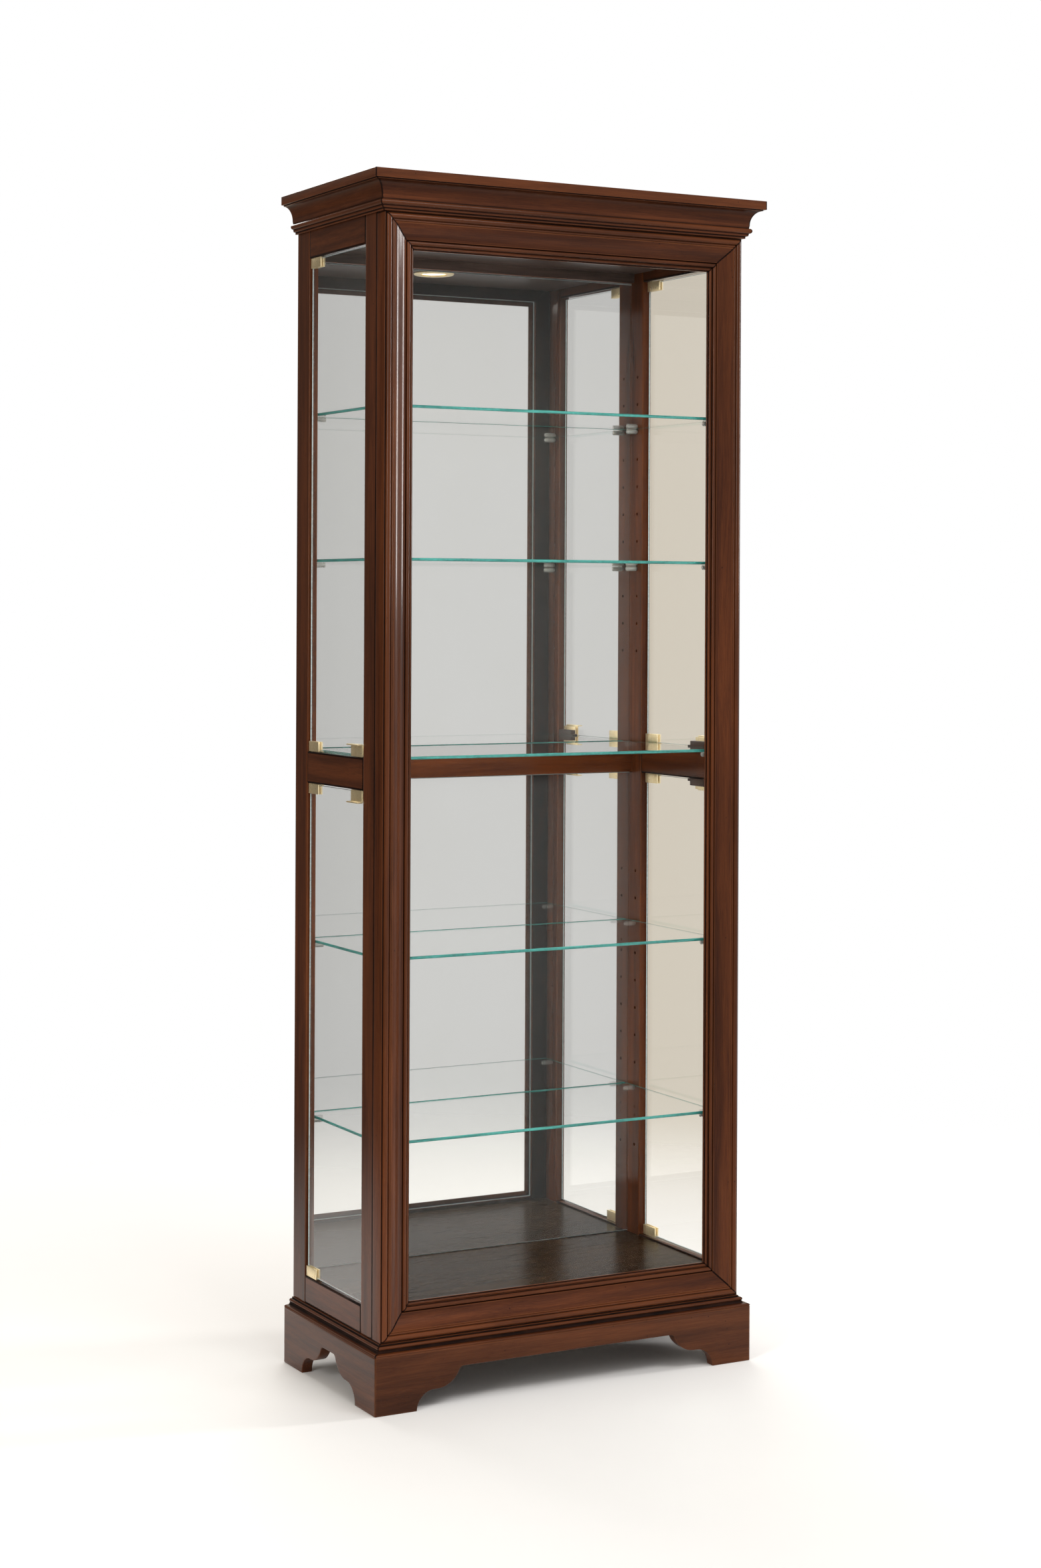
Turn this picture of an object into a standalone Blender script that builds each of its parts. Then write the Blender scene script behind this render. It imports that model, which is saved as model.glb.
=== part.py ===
"""Side-entry curio cabinet, in metres, +Z up, with the front facing -Y.

The origin is on the floor, under the middle of the whole outline. Four frameless glass doors,
two on each side, turn on pin hinges beside the rear posts. The front glass is fixed in a mitred
moulded frame. Pieces that touch are drawn with the small gap called FIT between them.
"""

import math

import bmesh
import bpy
from mathutils import Matrix, Vector

# Overall case
BODY_WIDTH = 0.694
BODY_DEPTH = 0.351
TOTAL_HEIGHT = 2.032
FIT = 0.0003  # gap between pieces that touch
MITRE_GAP = 0.0002  # what each piece gives up at a mitre, along its length
EASE = 0.0008  # sanded edge on boards

# Plinth with bracket feet
PLINTH_HEIGHT = 0.0967
PLINTH_OVERHANG = 0.0169
PLINTH_BOARD = 0.019
FOOT_WIDTH = 0.077
FOOT_SCOOP = 0.032  # radius of the round bite beside the foot
FOOT_LOBE = 0.0455  # radius of the belly above it
FOOT_SHELF = 0.005  # flat between the bite and the belly
FOOT_LOBE_END = -22  # where the belly ends, in degrees round its middle
APRON_HEIGHT = 0.064  # height of the straight lower edge
APRON_EASE = (0.0040, 0.0005)  # length and drop of the short slope that leads into it
PLINTH_BACK_HEIGHT = 0.050

# Base cap moulding, from the case out: a ledge, a bead, a hollow and a rounded lip
CAP_HEIGHT = 0.016
CAP_SEAT = 0.045  # how far the cap runs in under the case
CAP_LEDGE = 0.0020
CAP_LEDGE_HEIGHT = 0.0027
CAP_BEAD = 0.0030
CAP_HOLLOW = 0.0032
CAP_HOLLOW_RISE = 0.0030
CAP_HOLLOW_PLACE = 0.0100
CAP_LIP = 0.0030

# Cornice, from the case up and out: a fillet, a bead, a cove and a square fascia
CORNICE_HEIGHT = 0.0647
CORNICE_OVERHANG = 0.032
CORNICE_FILLET = 0.0050
CORNICE_FILLET_HEIGHT = 0.0035
CORNICE_BEAD = 0.0045
CORNICE_BEAD_SEAT = 0.0095
COVE_START = 0.0105
COVE_BACK = 0.0045  # from the fascia back to the top of the cove
COVE_FOOT = 0.0230
COVE_RISE = 0.0245
FASCIA_HEIGHT = 0.0150
TOP_BOARD = 0.018

# Side frames
FRAME_THICKNESS = 0.020
REAR_POST_DEPTH = 0.050
FRONT_POST_EDGE = 0.0745  # from the front face of the case to the door opening
TOP_RAIL_DROP = 0.0463  # visible height under the cornice
MIDDLE_RAIL_HEIGHT = 0.0543  # midway between the other two rails
BOTTOM_RAIL_HEIGHT = 0.0477

# Front frame
FRONT_FRAME_DEPTH = 0.030
FRONT_FRAME_WIDTH = 0.060
GLASS_LIP = 0.010  # how far the moulding covers the front glass
GLASS_SEAT = 0.020  # depth of the glass behind the face of the case
OUTER_BEADS = ((0.0025, 0.0005, 0.0047, 0.0047), (0.0128, 0.0012, 0.0018, 0.0022))  # see bead()
INNER_BEADS = ((0.0145, -0.0115, 0.0033, 0.0035), (0.0066, -0.0150, 0.0022, 0.0024))
OUTER_QUIRK = 0.0012  # height of the flat between the outer beads
INNER_QUIRK = -0.0135
INNER_EDGE = -0.0165  # height of the flat at the glass
FIELD_START = 0.0175
FIELD_TOP = 0.0030
FIELD_END = 0.0165  # from the inner edge
FIELD_BOTTOM = -0.0105
FIELD_SLOPE = 0.55  # the straight part of the field's fall, and the rest is an S curve
FIELD_STEPS = 10

# Glass, mirror and panels
PLATE_GLASS = 0.005
SHELF_GLASS = 0.005
MIRROR_GLASS = 0.0032
BACK_BOARD = 0.0032
BACK_REBATE = 0.012  # how far the rear posts lap over the mirror
PANEL_BOARD = 0.016
DECK_DROP = 0.0024  # deck below the top of the bottom rails
CEILING_RISE = 0.0175  # ceiling above the underside of the top rails
BACK_RAIL_DEPTH = 0.0162  # the back rail, and the lip of the ceiling that stands in line with it

# Glass shelves: the middle one lies just over the middle rails, and the others stand on pins in
# the row of holes of their bay, each at a share of the way up the row
MIDDLE_SHELF_RISE = 0.0027
LOWER_SHELF_SHARES = (0.2, 0.8)
UPPER_SHELF_SHARES = (0.3, 0.8)
LOWER_ROW_RISE = 0.1622  # from the bottom rail to the lowest hole
UPPER_ROW_RISE = 0.1705  # from the middle rail to the lowest hole
ROW_MARGIN = 0.160  # least height left free over the top hole of a row
SHELF_END_GAP = 0.003
SHELF_BACK_GAP = 0.003
SHELF_FRONT_GAP = 0.006
PIN_RADIUS = 0.0025
PIN_SLEEVE_RADIUS = 0.0045  # soft sleeve on the pin, which carries the glass
PIN_HOLE_DEPTH = 0.009
PIN_HOLE_PITCH = 0.0508
PIN_HOLE_SIDES = 8
PIN_EDGE = 0.018  # from the edge of a post to its row of holes

# Doors
DOOR_INSET = 0.004  # glass face behind the face of the side frame
DOOR_GAP_ENDS = 0.0025  # above and below the glass
DOOR_GAP_HINGE = 0.0035
DOOR_GAP_FRONT = 0.002
PIVOT_FROM_POST = 0.008

# Hinges
HINGE_LENGTH = 0.040
HINGE_HEIGHT = 0.0175
HINGE_OUTER_PLATE = 0.0025
HINGE_INNER_PLATE = 0.0032
HINGE_RAIL_GAP = 0.0005
HINGE_PIN_RADIUS = 0.003
HINGE_PIN_LENGTH = 0.0085
HINGE_PIN_PLAY = 0.0004
HINGE_PIN_SIDES = 16

# Finger pulls and magnetic catches
PULL_LENGTH = 0.044
PULL_HEIGHT = 0.0215
PULL_FROM_EDGE = 0.0055
PULL_PLATE = 0.0022
PULL_LIP = 0.0085
PULL_LIP_THICKNESS = 0.0022
PULL_INNER_HEIGHT = 0.0190
CATCH_LENGTH = 0.046
CATCH_HEIGHT = 0.0125
CATCH_SHELF_GAP = 0.0006
CATCH_TAB_LENGTH = 0.008
CATCH_TAB_HEIGHT = 0.005

# Lamp in the ceiling
LAMP_HOLE_RADIUS = 0.030
LAMP_TRIM_RADIUS = 0.038
LAMP_TRIM_THICKNESS = 0.003
LAMP_SLEEVE = 0.002
LAMP_SLEEVE_HEIGHT = 0.014
LAMP_LEDGE = 0.003  # ring inside the sleeve that the lens lies on
LAMP_CAN_HEIGHT = 0.058
LAMP_CAN_WALL = 0.0015
LAMP_LENS_THICKNESS = 0.003
LAMP_SIDES = 32

HALF_WIDTH = BODY_WIDTH / 2
BACK_Y = (BODY_DEPTH + CORNICE_OVERHANG) / 2
FACE_Y = BACK_Y - BODY_DEPTH
CASE_BOTTOM = PLINTH_HEIGHT + CAP_HEIGHT
CASE_TOP = TOTAL_HEIGHT - CORNICE_HEIGHT
POST_TOP = TOTAL_HEIGHT - TOP_BOARD - FIT
REAR_POST_Y = BACK_Y - REAR_POST_DEPTH
FRONT_POST_Y = FACE_Y + FRONT_POST_EDGE
FRAME_BACK_Y = FACE_Y + FRONT_FRAME_DEPTH
MIRROR_Y = BACK_Y - FIT - BACK_BOARD - FIT
MIRROR_FACE_Y = MIRROR_Y - MIRROR_GLASS
TOP_RAIL_BOTTOM = CASE_TOP - TOP_RAIL_DROP
BOTTOM_RAIL_TOP = CASE_BOTTOM + BOTTOM_RAIL_HEIGHT
MIDDLE_RAIL_BOTTOM = (BOTTOM_RAIL_TOP + TOP_RAIL_BOTTOM - MIDDLE_RAIL_HEIGHT) / 2
MIDDLE_RAIL_TOP = MIDDLE_RAIL_BOTTOM + MIDDLE_RAIL_HEIGHT
DECK_TOP = BOTTOM_RAIL_TOP - DECK_DROP
CEILING_BOTTOM = TOP_RAIL_BOTTOM + CEILING_RISE
SHELF_ON_PIN = PIN_SLEEVE_RADIUS + FIT + SHELF_GLASS
PANEL_HALF = HALF_WIDTH - FRAME_THICKNESS - FIT
PIVOT_Y = REAR_POST_Y - PIVOT_FROM_POST
PIVOT_INSET = DOOR_INSET + PLATE_GLASS / 2
BACK_RAIL_Y = MIRROR_Y - BACK_RAIL_DEPTH
LAMP_Y = (FACE_Y + BACK_Y) / 2
SIDES = {"left": -1, "right": 1}

for old in list(bpy.data.objects):
    bpy.data.objects.remove(old, do_unlink=True)


def pin_row(bottom, top, rise):
    """Heights of the evenly spaced pin holes between two rails."""
    count = 1 + int((top - bottom - rise - ROW_MARGIN) / PIN_HOLE_PITCH)
    return [bottom + rise + PIN_HOLE_PITCH * i for i in range(count)]


def shelves_on(row, shares):
    """Upper faces of the shelves that stand at these shares of the way up a row of holes."""
    return [row[round(share * (len(row) - 1))] + SHELF_ON_PIN for share in shares]


LOWER_ROW = pin_row(BOTTOM_RAIL_TOP, MIDDLE_RAIL_BOTTOM, LOWER_ROW_RISE)
UPPER_ROW = pin_row(MIDDLE_RAIL_TOP, TOP_RAIL_BOTTOM, UPPER_ROW_RISE)
MIDDLE_SHELF = MIDDLE_RAIL_TOP + MIDDLE_SHELF_RISE
PIN_HEIGHTS = [*LOWER_ROW, MIDDLE_SHELF - SHELF_ON_PIN, *UPPER_ROW]
SHELF_TOPS = [
    *shelves_on(LOWER_ROW, LOWER_SHELF_SHARES),
    MIDDLE_SHELF,
    *shelves_on(UPPER_ROW, UPPER_SHELF_SHARES),
]


def finish(name, colour, roughness, metallic=0.0, transmission=0.0):
    """A Principled material for one kind of surface."""
    material = bpy.data.materials.new(name)
    material.use_nodes = True
    shader = material.node_tree.nodes["Principled BSDF"]
    shader.inputs["Base Color"].default_value = (*colour, 1.0)
    shader.inputs["Roughness"].default_value = roughness
    shader.inputs["Metallic"].default_value = metallic
    shader.inputs["Transmission Weight"].default_value = transmission
    return material


CHERRY = finish("cherry_wood", (0.105, 0.030, 0.014), 0.35)
DARK_WOOD = finish("dark_wood", (0.040, 0.014, 0.009), 0.30)
BACKING = finish("backing_board", (0.110, 0.070, 0.045), 0.80)
CLEAR_GLASS = finish("clear_glass", (0.80, 0.90, 0.87), 0.03, 0.0, 0.9)
MIRROR = finish("mirror", (0.86, 0.88, 0.87), 0.03, 1.0)
BRASS = finish("aged_brass", (0.60, 0.44, 0.22), 0.30, 1.0)
BROWN_PLASTIC = finish("brown_plastic", (0.045, 0.022, 0.014), 0.50)
LAMP_METAL = finish("lamp_metal", (0.62, 0.60, 0.56), 0.35, 1.0)
LAMP_GLASS = finish("lamp_glass", (1.0, 0.93, 0.80), 0.40, 0.0, 0.5)


def add_object(name, bm, material, smooth=False):
    """Closes a bmesh into a named object whose faces point out."""
    bmesh.ops.recalc_face_normals(bm, faces=bm.faces)
    mesh = bpy.data.meshes.new(name)
    bm.to_mesh(mesh)
    bm.free()
    mesh.materials.append(material)
    if smooth:
        mesh.shade_smooth()
        mesh.set_sharp_from_angle(angle=math.radians(35))
    obj = bpy.data.objects.new(name, mesh)
    bpy.context.scene.collection.objects.link(obj)
    return obj


def slab(name, low, high, material, ease=0.0):
    """A board between two corners, with its edges eased if asked."""
    bm = bmesh.new()
    bmesh.ops.create_cube(bm, size=1.0)
    size = Vector(high) - Vector(low)
    middle = (Vector(high) + Vector(low)) / 2
    bmesh.ops.scale(bm, vec=size, verts=bm.verts)
    bmesh.ops.translate(bm, vec=middle, verts=bm.verts)
    if ease:
        bmesh.ops.bevel(bm, geom=bm.edges, offset=ease, segments=1, affect="EDGES")
    return add_object(name, bm, material)


def side_slab(name, sign, inset, y_range, z_range, material, ease=0.0):
    """A board in a side frame: inset gives its outer and inner faces behind the side of the case."""
    xs = sorted(sign * (HALF_WIDTH - depth) for depth in inset)
    low = (xs[0], y_range[0], z_range[0])
    high = (xs[1], y_range[1], z_range[1])
    return slab(name, low, high, material, ease)


def prism(name, ring_a, ring_b, material, smooth=False, ends=None):
    """A solid between two matching outlines. ends splits each end face where it isn't flat."""
    bm = bmesh.new()
    first = [bm.verts.new(point) for point in ring_a]
    second = [bm.verts.new(point) for point in ring_b]
    for ring in (first, second):
        for loop in ends or [range(len(ring))]:
            bm.faces.new([ring[i] for i in loop])
    count = len(first)
    for i in range(count):
        j = (i + 1) % count
        bm.faces.new((first[i], first[j], second[j], second[i]))
    return add_object(name, bm, material, smooth)


def turned(name, profile, centre, material):
    """A turned piece: profile is a closed outline of (radius, height) round a vertical axis."""
    bm = bmesh.new()
    rings = []
    for radius, height in profile:
        if radius == 0:
            rings.append([bm.verts.new((centre[0], centre[1], centre[2] + height))])
            continue
        ring = []
        for i in range(LAMP_SIDES):
            turn = math.tau * i / LAMP_SIDES
            x = centre[0] + radius * math.cos(turn)
            y = centre[1] + radius * math.sin(turn)
            ring.append(bm.verts.new((x, y, centre[2] + height)))
        rings.append(ring)
    for upper, lower in zip(rings, rings[1:] + rings[:1]):
        if len(upper) == 1 and len(lower) == 1:
            continue
        for i in range(LAMP_SIDES):
            j = (i + 1) % LAMP_SIDES
            corners = [upper[i % len(upper)], upper[j % len(upper)]]
            corners += [lower[j % len(lower)], lower[i % len(lower)]]
            bm.faces.new(list(dict.fromkeys(corners)))
    return add_object(name, bm, material, smooth=True)


def arc(centre, radii, start, end, steps):
    """Points on an arc or a quarter of an ellipse, with angles in degrees."""
    points = []
    for i in range(steps + 1):
        turn = math.radians(start + (end - start) * i / steps)
        across = centre[0] + radii[0] * math.cos(turn)
        points.append((across, centre[1] + radii[1] * math.sin(turn)))
    return points


def cutter(name, bores):
    """Helper with one closed cylinder for each (start, direction, length, radius, sides)."""
    bm = bmesh.new()
    for start, direction, length, radius, sides in bores:
        turn = Vector((0, 0, 1)).rotation_difference(Vector(direction)).to_matrix().to_4x4()
        middle = Vector(start) + Vector(direction) * length / 2
        bmesh.ops.create_cone(
            bm,
            cap_ends=True,
            segments=sides,
            radius1=radius,
            radius2=radius,
            depth=length,
            matrix=Matrix.Translation(middle) @ turn,
        )
    helper = add_object(name, bm, BACKING)
    helper.hide_render = True
    helper.display_type = "WIRE"
    return helper


def combine(obj, helper, operation):
    boolean = obj.modifiers.new(helper.name, "BOOLEAN")
    boolean.object = helper
    boolean.operation = operation
    boolean.solver = "EXACT"


# ---- mouldings -------------------------------------------------------------------------------


def bead(start, base, radius, rise):
    """A half-round bead: where it starts, the height it stands on, its half width and its rise."""
    return arc((start + radius, base), (radius, rise), 180, 0, 8)


def cornice_profile(inner):
    """Outline of the cornice as (overhang, height), from its inner foot round to its inner top.

    Where it runs in over the case, its second and its last but one points are at the case's face.
    """
    foot = CASE_TOP + FIT
    seat = foot + CORNICE_FILLET_HEIGHT
    cove_end = CORNICE_OVERHANG - COVE_BACK
    fascia = TOTAL_HEIGHT - FASCIA_HEIGHT
    points = [(inner, foot), (max(inner, 0.0), foot), (CORNICE_FILLET, foot)]
    points += [(CORNICE_FILLET, seat), (CORNICE_BEAD_SEAT, seat + EASE)]
    middle = seat + CORNICE_FILLET + CORNICE_BEAD
    points += arc((CORNICE_BEAD_SEAT, middle), (CORNICE_BEAD, CORNICE_BEAD), -90, 90, 8)
    points += arc((cove_end, foot + COVE_FOOT), (COVE_START - cove_end, COVE_RISE), 0, 90, 10)
    points += [(cove_end, fascia), (CORNICE_OVERHANG, fascia)]
    points += [(CORNICE_OVERHANG, TOTAL_HEIGHT - EASE), (CORNICE_OVERHANG - EASE, TOTAL_HEIGHT)]
    points += [(max(inner, 0.0), TOTAL_HEIGHT), (inner, TOTAL_HEIGHT)]
    if inner >= 0.0:
        return points[1:-1]
    return points


def cap_profile():
    """Outline of the base cap as (overhang, height), from its inner top round to its inner foot."""
    top = CASE_BOTTOM
    foot = PLINTH_HEIGHT
    seat = top - CAP_LEDGE_HEIGHT
    bead_middle = (CAP_LEDGE + EASE + CAP_BEAD / 2, seat - CAP_BEAD)
    points = [(-CAP_SEAT, top), (CAP_LEDGE - EASE, top), (CAP_LEDGE, top - EASE), (CAP_LEDGE, seat)]
    points += arc(bead_middle, (CAP_BEAD, CAP_BEAD), 90, -50, 8)
    hollow_middle = (CAP_HOLLOW_PLACE, foot + CAP_LIP + CAP_HOLLOW)
    points += arc(hollow_middle, (-CAP_HOLLOW, -CAP_HOLLOW_RISE), 0, 90, 5)
    points += arc((PLINTH_OVERHANG - CAP_LIP, foot), (CAP_LIP, CAP_LIP), 90, 0, 5)
    points.append((-CAP_SEAT, foot))
    return points


def front_frame_profile():
    """Outline of the front frame as (distance in from its outer edge, height above the face).

    From the outer edge in it has two beads, a hollow sloping field, and two more beads that step
    down to the glass.
    """
    back = -FRONT_FRAME_DEPTH
    inner = FRONT_FRAME_WIDTH
    outer_bead, outer_fillet = OUTER_BEADS
    points = [(0.0, back), (0.0, -EASE), (EASE, 0.0), (outer_bead[0], 0.0)]
    points += bead(*outer_bead)
    points += [(outer_bead[0] + 2 * outer_bead[2], OUTER_QUIRK)]
    points += bead(*outer_fillet)
    points.append((outer_fillet[0] + 2 * outer_fillet[2], FIELD_TOP - EASE))
    field_end = inner - FIELD_END
    for i in range(FIELD_STEPS + 1):
        along = i / FIELD_STEPS
        fall = FIELD_SLOPE * along + (1 - FIELD_SLOPE) * (1 - math.cos(math.pi * along)) / 2
        s = FIELD_START + (field_end - FIELD_START) * along
        points.append((s, FIELD_TOP + (FIELD_BOTTOM - FIELD_TOP) * fall))
    points.append((field_end + EASE, INNER_QUIRK))
    for start, base, radius, rise in INNER_BEADS:
        points.append((inner - start, INNER_QUIRK))
        points += bead(inner - start, base, radius, rise)
        points.append((inner - start + 2 * radius, INNER_QUIRK))
    points[-1] = (points[-1][0], INNER_EDGE)
    points += [(inner - EASE, INNER_EDGE), (inner, INNER_EDGE - EASE)]
    points += [(inner, -GLASS_SEAT), (inner - GLASS_LIP, -GLASS_SEAT), (inner - GLASS_LIP, back)]
    return points


def side_mouldings(name, profile):
    """The two side lengths of a moulding, mitred at the front corners and square at the back."""
    for side, sign in SIDES.items():
        front = [(sign * (HALF_WIDTH + e), FACE_Y - e + MITRE_GAP, z) for e, z in profile]
        back = [(sign * (HALF_WIDTH + e), BACK_Y, z) for e, z in profile]
        prism(f"{name}_{side}", front, back, CHERRY, smooth=True)


def cornice():
    """The front length runs in over the front frame, square at its ends there, to close the case."""
    profile = cornice_profile(FIT - FRONT_FRAME_DEPTH)
    left = [(-HALF_WIDTH - max(e, 0.0) + MITRE_GAP, FACE_Y - e, z) for e, z in profile]
    right = [(-x, y, z) for x, y, z in left]
    last = len(profile) - 1
    ends = [[0, 1, last - 1, last], list(range(1, last))]
    prism("cornice_front", left, right, CHERRY, smooth=True, ends=ends)
    side_mouldings("cornice", cornice_profile(FIT))


def base_cap():
    profile = cap_profile()
    left = [(-HALF_WIDTH - e + MITRE_GAP, FACE_Y - e, z) for e, z in profile]
    right = [(-x, y, z) for x, y, z in left]
    prism("base_cap_front", left, right, CHERRY, smooth=True)
    side_mouldings("base_cap", profile)


def front_frame():
    """Four mitred lengths of moulding round the front glass."""
    profile = front_frame_profile()
    low = CASE_BOTTOM + FIT
    high = CASE_TOP
    for side, sign in SIDES.items():
        foot = [(sign * (HALF_WIDTH - s), FACE_Y - h, low + s + MITRE_GAP) for s, h in profile]
        head = [(sign * (HALF_WIDTH - s), FACE_Y - h, high - s - MITRE_GAP) for s, h in profile]
        prism(f"front_frame_{side}", foot, head, CHERRY, smooth=True)
    for name, edge, inward in (("bottom", low, 1), ("top", high, -1)):
        left = [(-HALF_WIDTH + s + MITRE_GAP, FACE_Y - h, edge + inward * s) for s, h in profile]
        right = [(HALF_WIDTH - s - MITRE_GAP, FACE_Y - h, edge + inward * s) for s, h in profile]
        prism(f"front_frame_{name}", left, right, CHERRY, smooth=True)
    cover = FRONT_FRAME_WIDTH - GLASS_LIP + FIT
    glass_y = FACE_Y + GLASS_SEAT + FIT
    slab(
        "front_glass",
        (-HALF_WIDTH + cover, glass_y, low + cover),
        (HALF_WIDTH - cover, glass_y + PLATE_GLASS, high - cover),
        CLEAR_GLASS,
    )


# ---- plinth ----------------------------------------------------------------------------------


def foot_outline():
    """Inner side of one bracket foot as (distance from the corner, height), from the floor up."""
    scoop_middle = FOOT_WIDTH + FOOT_SCOOP
    lobe_middle = scoop_middle + FOOT_SHELF
    points = arc((scoop_middle, 0.0), (FOOT_SCOOP, FOOT_SCOOP), 180, 90, 8)
    points += arc((lobe_middle, FOOT_SCOOP + FOOT_LOBE), (FOOT_LOBE, FOOT_LOBE), -90, FOOT_LOBE_END, 8)
    end = points[-1]
    points.append((end[0] + APRON_EASE[0], APRON_HEIGHT - APRON_EASE[1]))
    points.append((end[0] + 2 * APRON_EASE[0], APRON_HEIGHT))
    return points


def plinth_board(name, place, length, corner_back, corner_front):
    """A board with a bracket foot at each end.

    place gives the world point for (distance along, depth, height). The corner values are how
    much shorter the inner face is at each end, which is the board's thickness at a mitre.
    """
    foot = foot_outline()
    other = [(length - u, z) for u, z in reversed(foot)]
    top = PLINTH_HEIGHT - FIT
    outline = [(0.0, 0.0), *foot, *other, (length, 0.0), (length, top), (0.0, top)]

    def ring(depth, shorten):
        points = []
        for u, z in outline:
            if u == 0.0:
                along = MITRE_GAP * bool(corner_back) + corner_back * shorten
            elif u == length:
                along = length - MITRE_GAP * bool(corner_front) - corner_front * shorten
            else:
                along = u
            points.append(place(along, depth, z))
        return points

    return prism(name, ring(0.0, 0), ring(PLINTH_BOARD, 1), CHERRY)


def plinth():
    outer_x = HALF_WIDTH + PLINTH_OVERHANG
    outer_y = FACE_Y - PLINTH_OVERHANG
    plinth_board(
        "plinth_front",
        lambda along, depth, z: (-outer_x + along, outer_y + depth, z),
        2 * outer_x,
        PLINTH_BOARD,
        PLINTH_BOARD,
    )
    for side, sign in SIDES.items():
        plinth_board(
            f"plinth_{side}",
            lambda along, depth, z, sign=sign: (sign * (outer_x - depth), BACK_Y - along, z),
            BACK_Y - outer_y,
            0.0,
            PLINTH_BOARD,
        )
    inner_x = outer_x - PLINTH_BOARD - FIT
    slab(
        "plinth_back",
        (-inner_x, BACK_Y - PLINTH_BOARD, PLINTH_HEIGHT - FIT - PLINTH_BACK_HEIGHT),
        (inner_x, BACK_Y, PLINTH_HEIGHT - FIT),
        CHERRY,
        EASE,
    )


# ---- side frames -----------------------------------------------------------------------------


def pin_bores(sign, y):
    """The row of shelf pin holes in the inner face of a post."""
    start_x = sign * (HALF_WIDTH - FRAME_THICKNESS - PIN_HOLE_DEPTH / 2)
    bores = []
    for z in PIN_HEIGHTS:
        start = (start_x, y, z)
        bores.append((start, (sign, 0, 0), PIN_HOLE_DEPTH * 1.5, PIN_RADIUS + FIT, PIN_HOLE_SIDES))
    return bores


def posts():
    for side, sign in SIDES.items():
        inner = HALF_WIDTH - FRAME_THICKNESS
        lap = inner + BACK_REBATE
        rebate_y = MIRROR_FACE_Y - FIT
        outline = [
            (HALF_WIDTH - EASE, REAR_POST_Y),
            (HALF_WIDTH, REAR_POST_Y + EASE),
            (HALF_WIDTH, BACK_Y - EASE),
            (HALF_WIDTH - EASE, BACK_Y),
            (lap, BACK_Y),
            (lap, rebate_y),
            (inner, rebate_y),
            (inner, REAR_POST_Y + EASE),
            (inner + EASE, REAR_POST_Y),
        ]
        low = [(sign * x, y, CASE_BOTTOM + FIT) for x, y in outline]
        high = [(sign * x, y, POST_TOP) for x, y in outline]
        rear = prism(f"rear_post_{side}", low, high, CHERRY)
        front = side_slab(
            f"front_post_{side}",
            sign,
            (0.0, FRAME_THICKNESS),
            (FRAME_BACK_Y + FIT, FRONT_POST_Y),
            (CASE_BOTTOM + FIT, POST_TOP),
            CHERRY,
            EASE,
        )
        rear_holes = cutter(f"cut_rear_post_{side}", pin_bores(sign, REAR_POST_Y + PIN_EDGE))
        combine(rear, rear_holes, "DIFFERENCE")
        front_holes = cutter(f"cut_front_post_{side}", pin_bores(sign, FRONT_POST_Y - PIN_EDGE))
        combine(front, front_holes, "DIFFERENCE")


def side_rails():
    levels = {
        "top": (TOP_RAIL_BOTTOM, POST_TOP),
        "middle": (MIDDLE_RAIL_BOTTOM, MIDDLE_RAIL_TOP),
        "bottom": (CASE_BOTTOM + FIT, BOTTOM_RAIL_TOP),
    }
    pivots = {
        "top": (TOP_RAIL_BOTTOM,),
        "middle": (MIDDLE_RAIL_BOTTOM, MIDDLE_RAIL_TOP),
        "bottom": (BOTTOM_RAIL_TOP,),
    }
    for side, sign in SIDES.items():
        for level, z_range in levels.items():
            rail = side_slab(
                f"side_rail_{level}_{side}",
                sign,
                (0.0, FRAME_THICKNESS),
                (FRONT_POST_Y + FIT, REAR_POST_Y - FIT),
                z_range,
                CHERRY,
                EASE,
            )
            bores = []
            for z in pivots[level]:
                centre = (sign * (HALF_WIDTH - PIVOT_INSET), PIVOT_Y, z - HINGE_PIN_LENGTH)
                radius = HINGE_PIN_RADIUS + HINGE_PIN_PLAY
                bores.append((centre, (0, 0, 1), 2 * HINGE_PIN_LENGTH, radius, HINGE_PIN_SIDES))
            combine(rail, cutter(f"cut_rail_{level}_{side}", bores), "DIFFERENCE")


# ---- panels, mirror and shelves --------------------------------------------------------------


def panels():
    slab(
        "top_board",
        (-HALF_WIDTH + FIT, FRAME_BACK_Y, POST_TOP + FIT),
        (HALF_WIDTH - FIT, BACK_Y, TOTAL_HEIGHT),
        CHERRY,
    )
    slab(
        "deck",
        (-PANEL_HALF, FRAME_BACK_Y + FIT, DECK_TOP - PANEL_BOARD),
        (PANEL_HALF, MIRROR_Y, DECK_TOP),
        DARK_WOOD,
    )
    # the ceiling has a lip along the back that comes down to the top of the mirror
    outline = [
        (FRAME_BACK_Y + FIT, CEILING_BOTTOM),
        (BACK_RAIL_Y, CEILING_BOTTOM),
        (BACK_RAIL_Y, TOP_RAIL_BOTTOM),
        (MIRROR_Y, TOP_RAIL_BOTTOM),
        (MIRROR_Y, CEILING_BOTTOM + PANEL_BOARD),
        (FRAME_BACK_Y + FIT, CEILING_BOTTOM + PANEL_BOARD),
    ]
    left = [(-PANEL_HALF, y, z) for y, z in outline]
    right = [(PANEL_HALF, y, z) for y, z in outline]
    ceiling = prism("ceiling", left, right, DARK_WOOD)
    start = (0.0, LAMP_Y, CEILING_BOTTOM - PANEL_BOARD)
    hole = cutter("cut_ceiling", [(start, (0, 0, 1), 3 * PANEL_BOARD, LAMP_HOLE_RADIUS, LAMP_SIDES)])
    combine(ceiling, hole, "DIFFERENCE")


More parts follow.
